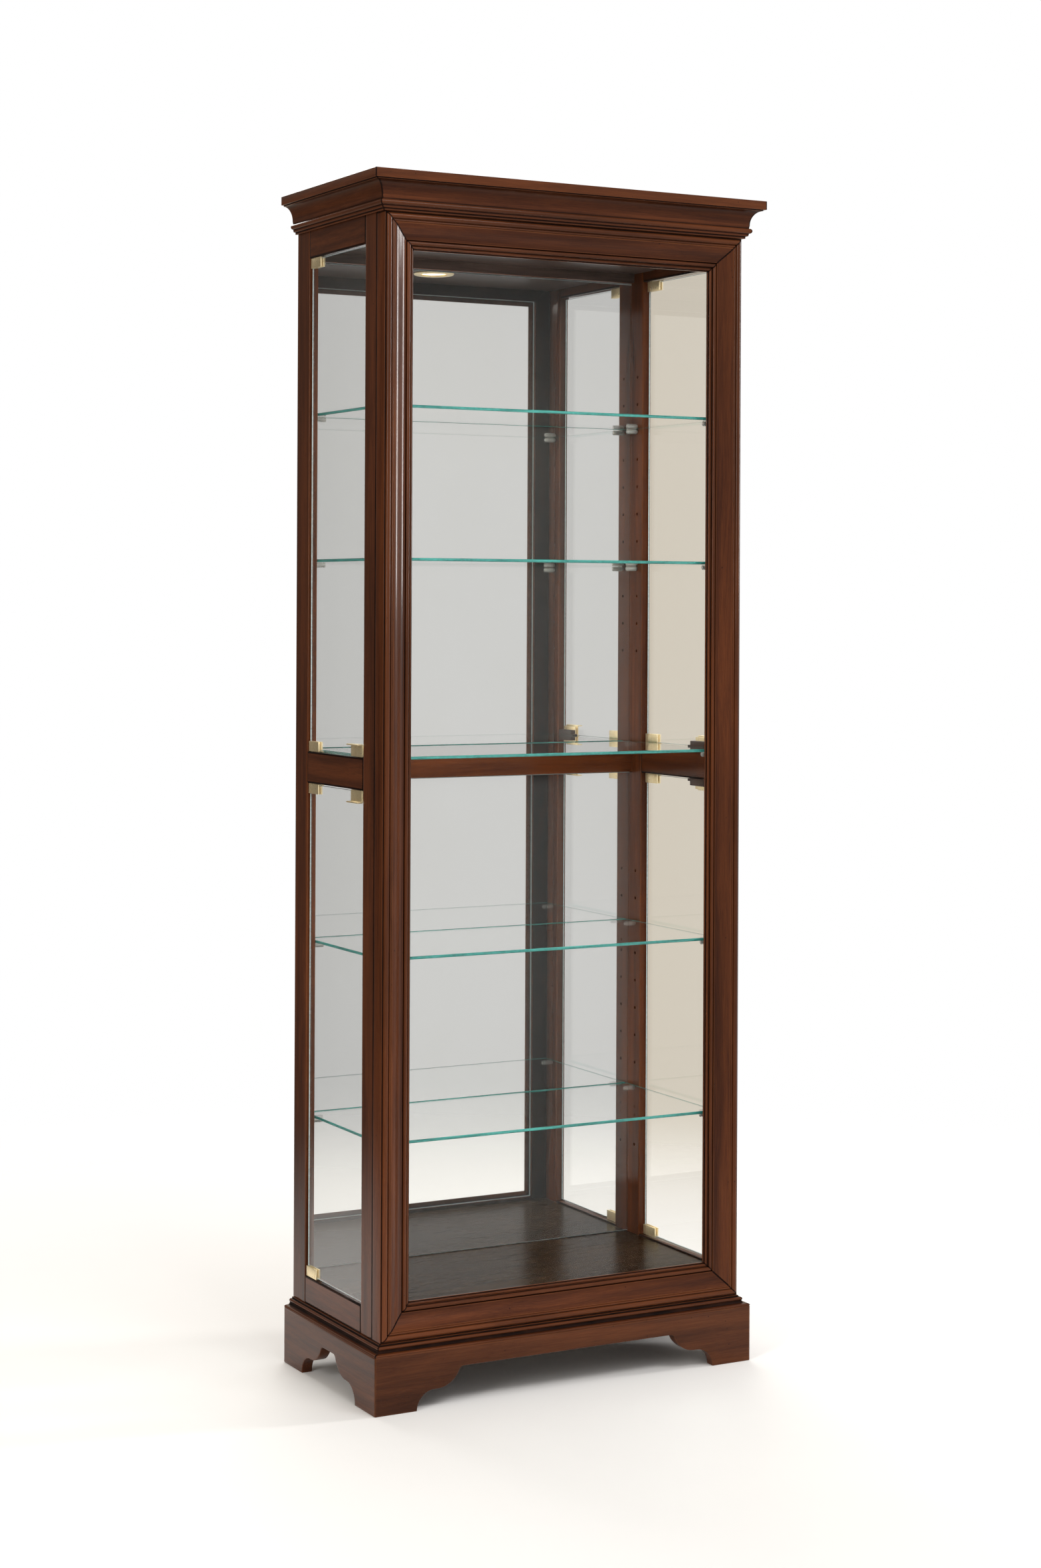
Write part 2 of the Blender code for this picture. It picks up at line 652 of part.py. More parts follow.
def back():
    lap = HALF_WIDTH - FRAME_THICKNESS + BACK_REBATE - 2 * FIT
    slab(
        "back_board",
        (-lap, MIRROR_Y + FIT, CASE_BOTTOM + FIT),
        (lap, BACK_Y - FIT, POST_TOP),
        BACKING,
    )
    slab(
        "back_rail",
        (-PANEL_HALF, BACK_RAIL_Y, MIDDLE_RAIL_BOTTOM),
        (PANEL_HALF, MIRROR_Y, MIDDLE_RAIL_TOP),
        CHERRY,
        EASE,
    )
    levels = {
        "lower": (DECK_TOP + FIT, MIDDLE_RAIL_BOTTOM - FIT),
        "upper": (MIDDLE_RAIL_TOP + FIT, TOP_RAIL_BOTTOM - FIT),
    }
    for level, (low, high) in levels.items():
        slab(f"mirror_{level}", (-lap, MIRROR_FACE_Y, low), (lap, MIRROR_Y, high), MIRROR)


def shelves():
    reach = HALF_WIDTH - FRAME_THICKNESS - SHELF_END_GAP
    for number, top in enumerate(SHELF_TOPS, start=1):
        # the middle one stops in front of the back rail
        wall_y = BACK_RAIL_Y if top == MIDDLE_SHELF else MIRROR_FACE_Y
        slab(
            f"shelf_{number}",
            (-reach, FRAME_BACK_Y + SHELF_FRONT_GAP, top - SHELF_GLASS),
            (reach, wall_y - SHELF_BACK_GAP, top),
            CLEAR_GLASS,
            EASE,
        )


def lamp():
    centre = (0.0, LAMP_Y, CEILING_BOTTOM)
    sleeve_out = LAMP_HOLE_RADIUS - FIT
    sleeve_in = sleeve_out - LAMP_SLEEVE
    below = -FIT
    lip = below - LAMP_TRIM_THICKNESS
    lens_radius = sleeve_in - FIT
    ledge = sleeve_in - LAMP_LEDGE
    trim = [
        (sleeve_out, LAMP_SLEEVE_HEIGHT),
        (sleeve_in, LAMP_SLEEVE_HEIGHT),
        (sleeve_in, below),
        (ledge, below),
        (ledge, lip),
        (LAMP_TRIM_RADIUS - LAMP_TRIM_THICKNESS, lip),
        (LAMP_TRIM_RADIUS, below - EASE),
        (LAMP_TRIM_RADIUS, below),
        (sleeve_out, below),
    ]
    turned("lamp_trim", trim, centre, LAMP_METAL)
    lens_foot = below + FIT
    lens = [
        (0.0, lens_foot + LAMP_LENS_THICKNESS),
        (lens_radius, lens_foot + LAMP_LENS_THICKNESS),
        (lens_radius, lens_foot),
        (0.0, lens_foot),
    ]
    turned("lamp_lens", lens, centre, LAMP_GLASS)
    can_radius = LAMP_TRIM_RADIUS - LAMP_TRIM_THICKNESS
    can_foot = PANEL_BOARD + FIT
    can_top = can_foot + LAMP_CAN_HEIGHT
    can = [
        (0.0, can_top),
        (can_radius, can_top),
        (can_radius, can_foot),
        (can_radius - LAMP_CAN_WALL, can_foot),
        (can_radius - LAMP_CAN_WALL, can_top - LAMP_CAN_WALL),
        (0.0, can_top - LAMP_CAN_WALL),
    ]
    turned("lamp_can", can, centre, LAMP_METAL)


# ---- doors -----------------------------------------------------------------------------------


def channel(name, sign, outline, y_range, material):
    """A length of channel: outline is (distance behind the side of the case, height)."""
    rings = []
    for y in y_range:
        rings.append([(sign * (HALF_WIDTH - depth), y, z) for depth, z in outline])
    return prism(name, rings[0], rings[1], material)


def hinge(name, sign, rail_z, away):
    """Clamp that grips the glass beside a rail, with its pin in the rail. away is +1 above the rail."""
    outer = DOOR_INSET - FIT
    inner = DOOR_INSET + PLATE_GLASS + FIT
    web = rail_z + away * HINGE_RAIL_GAP
    slot = rail_z + away * (DOOR_GAP_ENDS - FIT)
    tip = web + away * HINGE_HEIGHT
    outline = [
        (outer - HINGE_OUTER_PLATE, web),
        (inner + HINGE_INNER_PLATE, web),
        (inner + HINGE_INNER_PLATE, tip),
        (inner, tip),
        (inner, slot),
        (outer, slot),
        (outer, tip),
        (outer - HINGE_OUTER_PLATE, tip),
    ]
    rear = REAR_POST_Y - DOOR_GAP_HINGE
    clamp = channel(name, sign, outline, (rear, rear - HINGE_LENGTH), BRASS)
    overlap = (DOOR_GAP_ENDS - FIT - HINGE_RAIL_GAP) / 2
    start = (sign * (HALF_WIDTH - PIVOT_INSET), PIVOT_Y, web + away * overlap)
    length = HINGE_PIN_LENGTH - HINGE_PIN_PLAY + HINGE_RAIL_GAP + overlap
    pin = cutter(f"pin_{name}", [(start, (0, 0, -away), length, HINGE_PIN_RADIUS, HINGE_PIN_SIDES)])
    combine(clamp, pin, "UNION")


def pull(name, sign, rail_z, away):
    """Finger pull on the door's free corner, with its lip on the side away from the rail."""
    outer = DOOR_INSET - FIT
    inner = DOOR_INSET + PLATE_GLASS + FIT
    face = outer - PULL_PLATE
    web = rail_z + away * HINGE_RAIL_GAP
    slot = rail_z + away * (DOOR_GAP_ENDS - FIT)
    tip = web + away * PULL_HEIGHT
    inner_tip = web + away * PULL_INNER_HEIGHT
    outline = [
        (face, web),
        (inner + PULL_PLATE, web),
        (inner + PULL_PLATE, inner_tip),
        (inner, inner_tip),
        (inner, slot),
        (outer, slot),
        (outer, tip),
        (face - PULL_LIP, tip),
        (face - PULL_LIP, tip - away * PULL_LIP_THICKNESS),
        (face, tip - away * PULL_LIP_THICKNESS),
    ]
    front = FRONT_POST_Y + DOOR_GAP_FRONT + PULL_FROM_EDGE
    channel(name, sign, outline, (front, front + PULL_LENGTH), BRASS)


def catch(name, sign, rail_z, away):
    """Magnetic catch screwed to the middle rail, behind the finger pull."""
    depth = DOOR_INSET + PLATE_GLASS + FIT + PULL_PLATE + FIT
    inner = FRAME_THICKNESS + SHELF_END_GAP - CATCH_SHELF_GAP  # clear of the end of the middle shelf
    foot = rail_z + away * FIT
    front = FRONT_POST_Y + DOOR_GAP_FRONT + PULL_FROM_EDGE + PULL_LENGTH / 2 - CATCH_LENGTH / 2
    rear = front + CATCH_LENGTH
    outline = [
        (front, foot),
        (rear + CATCH_TAB_LENGTH, foot),
        (rear + CATCH_TAB_LENGTH, foot + away * CATCH_TAB_HEIGHT),
        (rear, foot + away * CATCH_TAB_HEIGHT),
        (rear, foot + away * CATCH_HEIGHT),
        (front, foot + away * CATCH_HEIGHT),
    ]
    rings = []
    for inset in (depth, inner):
        rings.append([(sign * (HALF_WIDTH - inset), y, z) for y, z in outline])
    prism(name, rings[0], rings[1], BROWN_PLASTIC)


def doors():
    """Upper and lower door on each side: glass, two hinges and a pull, with a catch on the rail."""
    openings = {
        "upper": (MIDDLE_RAIL_TOP, TOP_RAIL_BOTTOM),
        "lower": (BOTTOM_RAIL_TOP, MIDDLE_RAIL_BOTTOM),
    }
    for side, sign in SIDES.items():
        for level, (low, high) in openings.items():
            glass = side_slab(
                f"door_glass_{level}_{side}",
                sign,
                (DOOR_INSET, DOOR_INSET + PLATE_GLASS),
                (FRONT_POST_Y + DOOR_GAP_FRONT, REAR_POST_Y - DOOR_GAP_HINGE),
                (low + DOOR_GAP_ENDS, high - DOOR_GAP_ENDS),
                CLEAR_GLASS,
                EASE / 2,
            )
            pivot = bpy.data.objects.new(f"pivot_{level}_{side}", None)
            pivot.location = (sign * (HALF_WIDTH - PIVOT_INSET), PIVOT_Y, low)
            bpy.context.scene.collection.objects.link(pivot)
            hinge(f"hinge_{level}_{side}_bottom", sign, low, 1)
            hinge(f"hinge_{level}_{side}_top", sign, high, -1)
            inner_rail, away = (low, 1) if level == "upper" else (high, -1)
            pull(f"pull_{level}_{side}", sign, inner_rail, away)
            catch(f"catch_{level}_{side}", sign, inner_rail, away)
            bpy.context.view_layer.update()
            for name in (
                glass.name,
                f"hinge_{level}_{side}_bottom",
                f"hinge_{level}_{side}_top",
                f"pull_{level}_{side}",
            ):
                piece = bpy.data.objects[name]
                piece.parent = pivot
                piece.matrix_parent_inverse = pivot.matrix_world.inverted()


plinth()
base_cap()
posts()
side_rails()
front_frame()
cornice()
panels()
back()
shelves()
lamp()
doors()
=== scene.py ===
import math
import random

import bmesh
import bpy
from mathutils import Matrix, Vector


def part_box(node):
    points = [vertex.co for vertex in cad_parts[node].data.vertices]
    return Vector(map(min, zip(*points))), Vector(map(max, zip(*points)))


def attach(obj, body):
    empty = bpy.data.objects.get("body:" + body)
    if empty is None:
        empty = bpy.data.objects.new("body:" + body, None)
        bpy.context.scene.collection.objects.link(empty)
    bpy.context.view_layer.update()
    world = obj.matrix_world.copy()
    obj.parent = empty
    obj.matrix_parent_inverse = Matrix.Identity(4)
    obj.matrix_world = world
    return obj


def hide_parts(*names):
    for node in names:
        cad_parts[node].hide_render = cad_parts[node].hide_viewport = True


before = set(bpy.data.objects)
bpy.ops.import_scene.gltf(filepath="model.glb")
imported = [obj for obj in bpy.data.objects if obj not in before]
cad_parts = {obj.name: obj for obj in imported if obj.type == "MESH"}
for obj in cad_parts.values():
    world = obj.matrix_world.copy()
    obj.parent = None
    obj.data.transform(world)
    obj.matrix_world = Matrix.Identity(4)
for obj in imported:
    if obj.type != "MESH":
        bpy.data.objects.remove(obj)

random.seed(7)
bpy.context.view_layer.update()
sides = {"left": -1, "right": 1}
root = "cabinet"
fit = 0.0003  # the gap the frame leaves between pieces that touch

# the main planes of the case, read from the frame
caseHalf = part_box("front_post_right")[1].x
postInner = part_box("front_post_right")[0].x
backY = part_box("rear_post_left")[1].y
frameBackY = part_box("front_frame_left")[1].y
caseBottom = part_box("base_cap_front")[1].z
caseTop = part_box("front_frame_top")[1].z
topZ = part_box("top_board")[1].z


# ---- node helpers

def newTree(name):
    made = bpy.data.materials.new(name)
    made.use_nodes = True
    made.node_tree.nodes.clear()
    return made, made.node_tree


def put(tree, kind, values=None, **settings):
    made = tree.nodes.new(kind)
    for key, value in settings.items():
        setattr(made, key, value)
    for key, value in (values or {}).items():
        if isinstance(value, bpy.types.NodeSocket):
            tree.links.new(value, made.inputs[key])
        else:
            made.inputs[key].default_value = value
    return made


def rgb(colour):
    return (*colour, 1.0)


def stretched(tree, vector, scale):
    return put(tree, "ShaderNodeVectorMath", {0: vector, 1: scale}, operation="MULTIPLY").outputs[0]


def noise(tree, vector, scale=1.0, detail=3.0, rough=0.55, twist=0.0):
    if isinstance(scale, tuple):
        vector, scale = stretched(tree, vector, scale), 1.0
    values = {"Vector": vector, "Scale": scale, "Detail": detail, "Roughness": rough, "Distortion": twist}
    return put(tree, "ShaderNodeTexNoise", values).outputs["Fac"]


def remap(tree, value, low, high, start=0.0, end=1.0, smooth=False):
    values = {"Value": value, "From Min": low, "From Max": high, "To Min": start, "To Max": end}
    kind = "SMOOTHSTEP" if smooth else "LINEAR"
    return put(tree, "ShaderNodeMapRange", values, interpolation_type=kind).outputs["Result"]


def maths(tree, kind, first, second=0.0):
    return put(tree, "ShaderNodeMath", {0: first, 1: second}, operation=kind).outputs[0]


def times(tree, first, second):
    return maths(tree, "MULTIPLY", first, second)


def plus(tree, first, second):
    return maths(tree, "ADD", first, second)


def mixColour(tree, share, first, second, kind="MIX"):
    made = put(tree, "ShaderNodeMix", data_type="RGBA", blend_type=kind)
    for index, value in ((0, share), (6, first), (7, second)):
        if isinstance(value, bpy.types.NodeSocket):
            tree.links.new(value, made.inputs[index])
        else:
            made.inputs[index].default_value = value
    return made.outputs[2]


def bumped(tree, height, strength, distance):
    values = {"Strength": strength, "Distance": distance, "Height": height}
    return put(tree, "ShaderNodeBump", values).outputs[0]


def mixShader(tree, share, first, second):
    return put(tree, "ShaderNodeMixShader", {0: share, 1: first, 2: second}).outputs[0]


def principled(tree, values):
    return put(tree, "ShaderNodeBsdfPrincipled", values).outputs[0]


def finishTree(tree, shader):
    put(tree, "ShaderNodeOutputMaterial", {"Surface": shader})


# ---- wood

cherryLooks = {
    "dark": (0.042, 0.0108, 0.0038),
    "middle": (0.092, 0.0245, 0.0072),
    "light": (0.165, 0.050, 0.0145),
    # the dark glaze colour also fills the creases, where it is partly painted shade
    "glaze": (0.0040, 0.0015, 0.0010),
    "worn": (0.200, 0.072, 0.028),
    "bandSize": 0.022,  # width of the broad figure, in metres
    "fibreSize": 0.0011,
    "stretch": 0.045,  # how much slower the figure changes along the board
    "specks": 0.65,
    "rough": (0.26, 0.38),
    "shine": 0.04,
    "coat": 1.0,
    "coatIor": 1.22,
    "coatRough": 0.12,
    "bump": 0.10,
}
darkLooks = dict(cherryLooks, worn=(0.110, 0.060, 0.036), glaze=(0.006, 0.003, 0.002), shine=0.05, bump=0.0)
deckLooks = dict(
    darkLooks,
    dark=(0.010, 0.0052, 0.0026),
    middle=(0.026, 0.0140, 0.0066),
    light=(0.055, 0.030, 0.0135),
    bandSize=0.018,
    fibreSize=0.004,
    stretch=0.03,
    specks=0.0,
    rough=(0.20, 0.30),
    coat=0.0,
)
ceilingLooks = dict(
    darkLooks,
    dark=(0.040, 0.0270, 0.0220),
    middle=(0.074, 0.0500, 0.0420),
    light=(0.110, 0.076, 0.064),
    bandSize=0.012,
    fibreSize=0.003,
    rough=(0.26, 0.36),
    coat=0.04,
)
plinthCherryLooks = dict(
    cherryLooks,
    dark=(0.040, 0.0105, 0.0035),
    middle=(0.092, 0.0260, 0.0080),
    light=(0.165, 0.055, 0.018),
    bandSize=0.026,
)


def woodMaterial(name, looks):
    made, tree = newTree(name)
    grain = put(tree, "ShaderNodeAttribute", attribute_name="grain").outputs["Vector"]
    # the mark is positive on arrises, which are rubbed through, and negative in hollows, which get glaze
    # and painted shade
    wear = put(tree, "ShaderNodeAttribute", attribute_name="wear").outputs["Fac"]
    across = 1.0 / looks["bandSize"]
    fine = 1.0 / looks["fibreSize"]
    drift = looks["stretch"]
    # the broad figure wanders a little sideways as it runs along the board
    sway = noise(tree, grain, (5.0, 5.0, 2.2), 2.0)
    swayed = put(tree, "ShaderNodeCombineXYZ", {0: times(tree, sway, 0.045)}).outputs[0]
    place = put(tree, "ShaderNodeVectorMath", {0: grain, 1: swayed}, operation="ADD").outputs[0]
    bands = noise(tree, place, (across, across, across * drift), 5.0, 0.62, 0.35)
    fibres = noise(tree, place, (fine, fine, fine * drift * 0.45), 3.0, 0.6)
    cloud = noise(tree, grain, (6.0, 6.0, 1.7), 2.0, 0.5)
    pores = noise(tree, place, (fine * 1.7, fine * 1.7, fine * 0.07), 2.0, 0.5)
    pores = remap(tree, pores, 0.60, 0.72)
    cells = put(tree, "ShaderNodeTexVoronoi", {"Vector": grain, "Scale": 62.0}, feature="F1")
    dots = remap(tree, cells.outputs["Distance"], 0.10, 0.055)
    sparse = remap(tree, noise(tree, grain, (23.0, 23.0, 17.0), 1.0), 0.52, 0.60)
    dots = times(tree, times(tree, dots, sparse), looks["specks"])
    figure = remap(tree, bands, 0.32, 0.68, smooth=True)
    colour = mixColour(tree, figure, rgb(looks["dark"]), rgb(looks["middle"]))
    banded = remap(tree, bands, 0.35, 0.75, 0.20, 0.65)
    lift = times(tree, remap(tree, fibres, 0.40, 0.80), banded)
    colour = mixColour(tree, lift, colour, rgb(looks["light"]))
    clouded = remap(tree, cloud, 0.3, 0.7, 0.72, 1.22)
    shade = put(tree, "ShaderNodeCombineColor", {i: clouded for i in range(3)}).outputs[0]
    colour = mixColour(tree, 1.0, colour, shade, "MULTIPLY")
    colour = mixColour(tree, times(tree, pores, 0.30), colour, rgb(looks["glaze"]))
    colour = mixColour(tree, dots, colour, rgb(looks["glaze"]))
    # the hollows take the glaze colour: real glaze in the joints and pores, partly real glaze and partly
    # painted shade in the creases; the arrises are rubbed through
    patches = noise(tree, grain, (60.0, 60.0, 24.0), 3.0)
    patchy = remap(tree, patches, 0.30, 0.70, 0.60, 1.0)
    filled = maths(tree, "POWER", patchy, 0.5)
    hollow = times(tree, remap(tree, wear, -0.02, -0.30), filled)
    colour = mixColour(tree, hollow, colour, rgb(looks["glaze"]))
    rubbed = times(tree, remap(tree, wear, 0.15, 0.9, 0.0, 0.45), patchy)
    colour = mixColour(tree, rubbed, colour, rgb(looks["worn"]))
    rough = remap(tree, cloud, 0.3, 0.7, *looks["rough"])
    rough = plus(tree, rough, times(tree, pores, 0.08))
    rough = plus(tree, rough, times(tree, hollow, 0.25))
    raised, sunk = times(tree, fibres, 0.35), times(tree, pores, 0.6)
    height = maths(tree, "SUBTRACT", raised, sunk)
    peel = noise(tree, grain, (260.0, 260.0, 180.0), 1.0)
    height = plus(tree, height, times(tree, peel, 0.5))
    # the hollows hold glaze, not lacquer
    bare = times(tree, hollow, 0.85)
    lacquer = times(tree, maths(tree, "SUBTRACT", 1.0, bare), looks["coat"])
    values = {
        "Base Color": colour,
        "Roughness": rough,
        "Specular IOR Level": looks["shine"],
        "Coat Weight": lacquer,
        "Coat Roughness": looks["coatRough"],
        "Coat IOR": looks["coatIor"],
        "Normal": bumped(tree, height, looks["bump"], 0.0002),
    }
    finishTree(tree, principled(tree, values))
    return made


# ---- glass, mirror, metal, plastic and board

glassLooks = {
    "tint": (0.992, 0.996, 0.990),
    "lampTint": (0.94, 0.955, 0.945),
    "ior": 1.38,
    "smudge": 0.012,
    "wave": 0.012,
}
# edge colours: deep is the glass's own tint; bright, and the streaks between them, are partly the glass's
# own look and partly painted highlight; glow is a painted glow, since these edges are no lamp
tealEdgePaintedGlowLooks = {"deep": (0.006, 0.070, 0.062), "bright": (0.060, 0.330, 0.290), "glow": 0.16, "rough": 0.16}
paleEdgePaintedGlowLooks = {"deep": (0.20, 0.27, 0.27), "bright": (0.66, 0.72, 0.72), "glow": 0.10, "rough": 0.30}
mirrorLooks = {
    "silver": (0.87, 0.872, 0.868),
    "haze": (0.84, 0.84, 0.82),
    "rough": (0.004, 0.022),
    "dust": 0.04,  # the share of light that a thin film of dust scatters
}


def objectPlace(tree):
    return put(tree, "ShaderNodeTexCoord").outputs["Object"]


def glassMaterial(name, looks):
    made, tree = newTree(name)
    place = objectPlace(tree)
    smears = noise(tree, place, (9.0, 9.0, 4.0), 4.0, 0.6)
    ripple = noise(tree, place, 2.6, 1.0)
    values = {
        "Base Color": rgb(looks["tint"]),
        "Roughness": remap(tree, smears, 0.55, 0.80, 0.0, looks["smudge"]),
        "IOR": looks["ior"],
        "Transmission Weight": 1.0,
        "Normal": bumped(tree, ripple, looks["wave"], 0.002),
    }
    # light from the lamps passes straight through
    through = put(tree, "ShaderNodeBsdfTransparent", {"Color": rgb(looks["lampTint"])}).outputs[0]
    shadow = put(tree, "ShaderNodeLightPath").outputs["Is Shadow Ray"]
    finishTree(tree, mixShader(tree, shadow, principled(tree, values), through))
    return made


def paintedGlowEdgeMaterial(name, looks):
    made, tree = newTree(name)
    place = objectPlace(tree)
    streaks = noise(tree, place, (14.0, 14.0, 900.0), 3.0)
    chips = noise(tree, place, 240.0, 2.0)
    share = plus(tree, times(tree, streaks, 0.75), times(tree, chips, 0.25))
    colour = mixColour(tree, remap(tree, share, 0.30, 0.70), rgb(looks["deep"]), rgb(looks["bright"]))
    values = {
        "Base Color": colour,
        "Roughness": remap(tree, chips, 0.3, 0.7, looks["rough"], looks["rough"] + 0.1),
        "Coat Weight": 0.6,
        "Coat Roughness": 0.08,
        # painted glow: the edges shine by their own emission though they are no lamp
        "Emission Color": colour,
        "Emission Strength": looks["glow"],
        "Normal": bumped(tree, chips, 0.15, 0.0002),
    }
    finishTree(tree, principled(tree, values))
    made.cycles.emission_sampling = "NONE"
    return made


def mirrorMaterial(name, looks):
    made, tree = newTree(name)
    place = objectPlace(tree)
    haze = noise(tree, place, (3.0, 3.0, 2.0), 4.0, 0.6)
    specks = noise(tree, place, 420.0, 1.0)
    share = remap(tree, haze, 0.4, 0.8, 0.0, 0.7)
    colour = mixColour(tree, share, rgb(looks["silver"]), rgb(looks["haze"]))
    rough = remap(tree, haze, 0.45, 0.8, *looks["rough"])
    rough = plus(tree, rough, remap(tree, specks, 0.70, 0.80, 0.0, 0.02))
    values = {"Base Color": colour, "Metallic": 1.0 - looks["dust"], "Roughness": rough}
    finishTree(tree, principled(tree, values))
    return made


brassLooks = {
    "bright": (0.96, 0.80, 0.50),
    "aged": (0.72, 0.53, 0.27),
    "metal": 0.8,
    "rough": (0.24, 0.40),
    "brush": 1400.0,
    "bump": 0.10,
}
nickelLooks = dict(brassLooks, bright=(0.74, 0.71, 0.66), aged=(0.45, 0.42, 0.38), metal=1.0)
steelLooks = dict(brassLooks, bright=(0.60, 0.59, 0.57), aged=(0.34, 0.32, 0.30), metal=1.0)


def metalMaterial(name, looks):
    made, tree = newTree(name)
    place = objectPlace(tree)
    patina = noise(tree, place, 130.0, 4.0, 0.65)
    brushed = noise(tree, place, (looks["brush"], 60.0, looks["brush"]), 2.0)
    share = remap(tree, patina, 0.50, 0.78, 0.0, 0.75)
    colour = mixColour(tree, share, rgb(looks["bright"]), rgb(looks["aged"]))
    rough = remap(tree, patina, 0.35, 0.75, *looks["rough"])
    rough = plus(tree, rough, times(tree, brushed, 0.06))
    bump = bumped(tree, brushed, looks["bump"], 0.0001)
    values = {"Base Color": colour, "Metallic": looks["metal"], "Roughness": rough, "Normal": bump}
    finishTree(tree, principled(tree, values))
    return made


mouldedLooks = {
    "brownPlastic": ((0.030, 0.015, 0.010), (0.055, 0.030, 0.020), 0.42, 0.0),
    "sleevePlastic": ((0.90, 0.92, 0.90), (0.78, 0.80, 0.78), 0.12, 0.85),
    "mirrorPaint": ((0.16, 0.15, 0.15), (0.10, 0.095, 0.09), 0.55, 0.0),
}


def mouldedMaterial(name, colour, speck, rough, clearness):
    made, tree = newTree(name)
    place = objectPlace(tree)
    mottle = noise(tree, place, 160.0, 3.0)
    pits = noise(tree, place, 2200.0, 2.0)
    shade = mixColour(tree, remap(tree, mottle, 0.35, 0.75, 0.0, 0.8), rgb(colour), rgb(speck))
    values = {
        "Base Color": shade,
        "Roughness": remap(tree, pits, 0.3, 0.7, rough, rough + 0.12),
        "Transmission Weight": clearness,
        "IOR": 1.46,
        "Normal": bumped(tree, pits, 0.25, 0.0001),
    }
    finishTree(tree, principled(tree, values))
    return made


hardboardLooks = {
    "dark": (0.085, 0.046, 0.024),
    "light": (0.190, 0.115, 0.066),
    "blotch": (0.075, 0.042, 0.024),
    "fleck": (0.30, 0.21, 0.13),
    "rough": (0.62, 0.85),
}


def hardboardMaterial(name, looks):
    made, tree = newTree(name)
    place = objectPlace(tree)
    pressed = noise(tree, place, (700.0, 700.0, 260.0), 4.0, 0.7)
    blotch = noise(tree, place, 9.0, 3.0)
    fleck = noise(tree, place, (420.0, 420.0, 90.0), 2.0)
    colour = mixColour(tree, remap(tree, pressed, 0.3, 0.7), rgb(looks["dark"]), rgb(looks["light"]))
    colour = mixColour(tree, remap(tree, blotch, 0.4, 0.8, 0.0, 0.35), colour, rgb(looks["blotch"]))
    colour = mixColour(tree, remap(tree, fleck, 0.66, 0.74, 0.0, 0.5), colour, rgb(looks["fleck"]))
    rough = remap(tree, pressed, 0.3, 0.7, *looks["rough"])
    values = {"Base Color": colour, "Roughness": rough, "Normal": bumped(tree, pressed, 0.35, 0.0003)}
    finishTree(tree, principled(tree, values))
    return made


lensLooks = {
    "warm": (1.0, 0.70, 0.34),
    "pale": (1.0, 0.86, 0.58),
    "frost": ((0.95, 0.90, 0.82), (1.0, 0.97, 0.92)),
    "rough": (0.30, 0.5),
    "glow": 4.5,
}


def lensMaterial(name, looks):
    made, tree = newTree(name)
    place = objectPlace(tree)
    frost = noise(tree, place, 900.0, 2.0)
    warm = noise(tree, place, 40.0, 2.0)
    glow = mixColour(tree, remap(tree, warm, 0.3, 0.7), rgb(looks["warm"]), rgb(looks["pale"]))
    values = {
        "Base Color": mixColour(tree, frost, *[rgb(colour) for colour in looks["frost"]]),
        "Roughness": remap(tree, frost, 0.3, 0.7, *looks["rough"]),
        "Emission Color": glow,
        "Emission Strength": looks["glow"],
        "Normal": bumped(tree, frost, 0.4, 0.0002),
    }
    finishTree(tree, principled(tree, values))
    made.cycles.emission_sampling = "NONE"
    return made


cherry = woodMaterial("glazedCherry", cherryLooks)
plinthCherry = woodMaterial("plinthCherry", plinthCherryLooks)
deckWood = woodMaterial("deckWood", deckLooks)
ceilingWood = woodMaterial("ceilingWood", ceilingLooks)
clearGlass = glassMaterial("clearGlass", glassLooks)
frontGlass = glassMaterial("frontGlass", dict(glassLooks, ior=1.07))
tealEdgePaintedGlow = paintedGlowEdgeMaterial("polishedShelfEdge", tealEdgePaintedGlowLooks)
paleEdgePaintedGlow = paintedGlowEdgeMaterial("groundDoorEdge", paleEdgePaintedGlowLooks)
silver = mirrorMaterial("silvering", mirrorLooks)
brass = metalMaterial("agedBrass", brassLooks)
nickel = metalMaterial("lampNickel", nickelLooks)
steel = metalMaterial("screwSteel", steelLooks)
moulded = {name: mouldedMaterial(name, *looks) for name, looks in mouldedLooks.items()}
hardboard = hardboardMaterial("hardboard", hardboardLooks)
lens = lensMaterial("glowingLens", lensLooks)
print("materials made")


# ---- mesh helpers

def newMesh():
    bm = bmesh.new()
    bm.verts.layers.float.new("wear")
    return bm


def markWearAndShade(bm, softness=1.4):
    # how sharply each point sticks out (+), for rubbed wear, or sits in a hollow (-), for glaze and painted
    # shade
    layer = bm.verts.layers.float["wear"]
    for vert in bm.verts:
        folds = [edge for edge in vert.link_edges if len(edge.link_faces) == 2]
        turn = sum(edge.calc_face_angle_signed(0.0) for edge in folds)
        vert[layer] = max(-1.0, min(1.0, turn / softness))
    # the dark mark of glaze and painted shade spreads a little way out of each hollow
    deep = [vert for vert in bm.verts if vert[layer] < -0.30]
    for vert in deep:
        for edge in vert.link_edges:
            other = edge.other_vert(vert)
            if edge.calc_length() < 0.0024 and other not in deep:
                other[layer] = min(other[layer], -0.40)
    return layer


def darken(bm, layer, inSeam, amount=-0.85):
    for vert in bm.verts:
        if inSeam(vert.co):
            vert[layer] = amount


def markGrain(mesh, axis):
    # where each point lies in its own board: across, through and along the grain
    order = {0: (1, 2, 0), 1: (0, 2, 1), 2: (0, 1, 2)}[axis]
    shift = [random.uniform(-4.0, 4.0) for _ in range(3)]
    layer = mesh.attributes.new("grain", "FLOAT_VECTOR", "POINT")
    for vert, entry in zip(mesh.vertices, layer.data):
        entry.vector = [vert.co[k] + shift[i] for i, k in enumerate(order)]


def camelName(words):
    first, *rest = words.replace("_", " ").split()
    return first + "".join(word.capitalize() for word in rest)


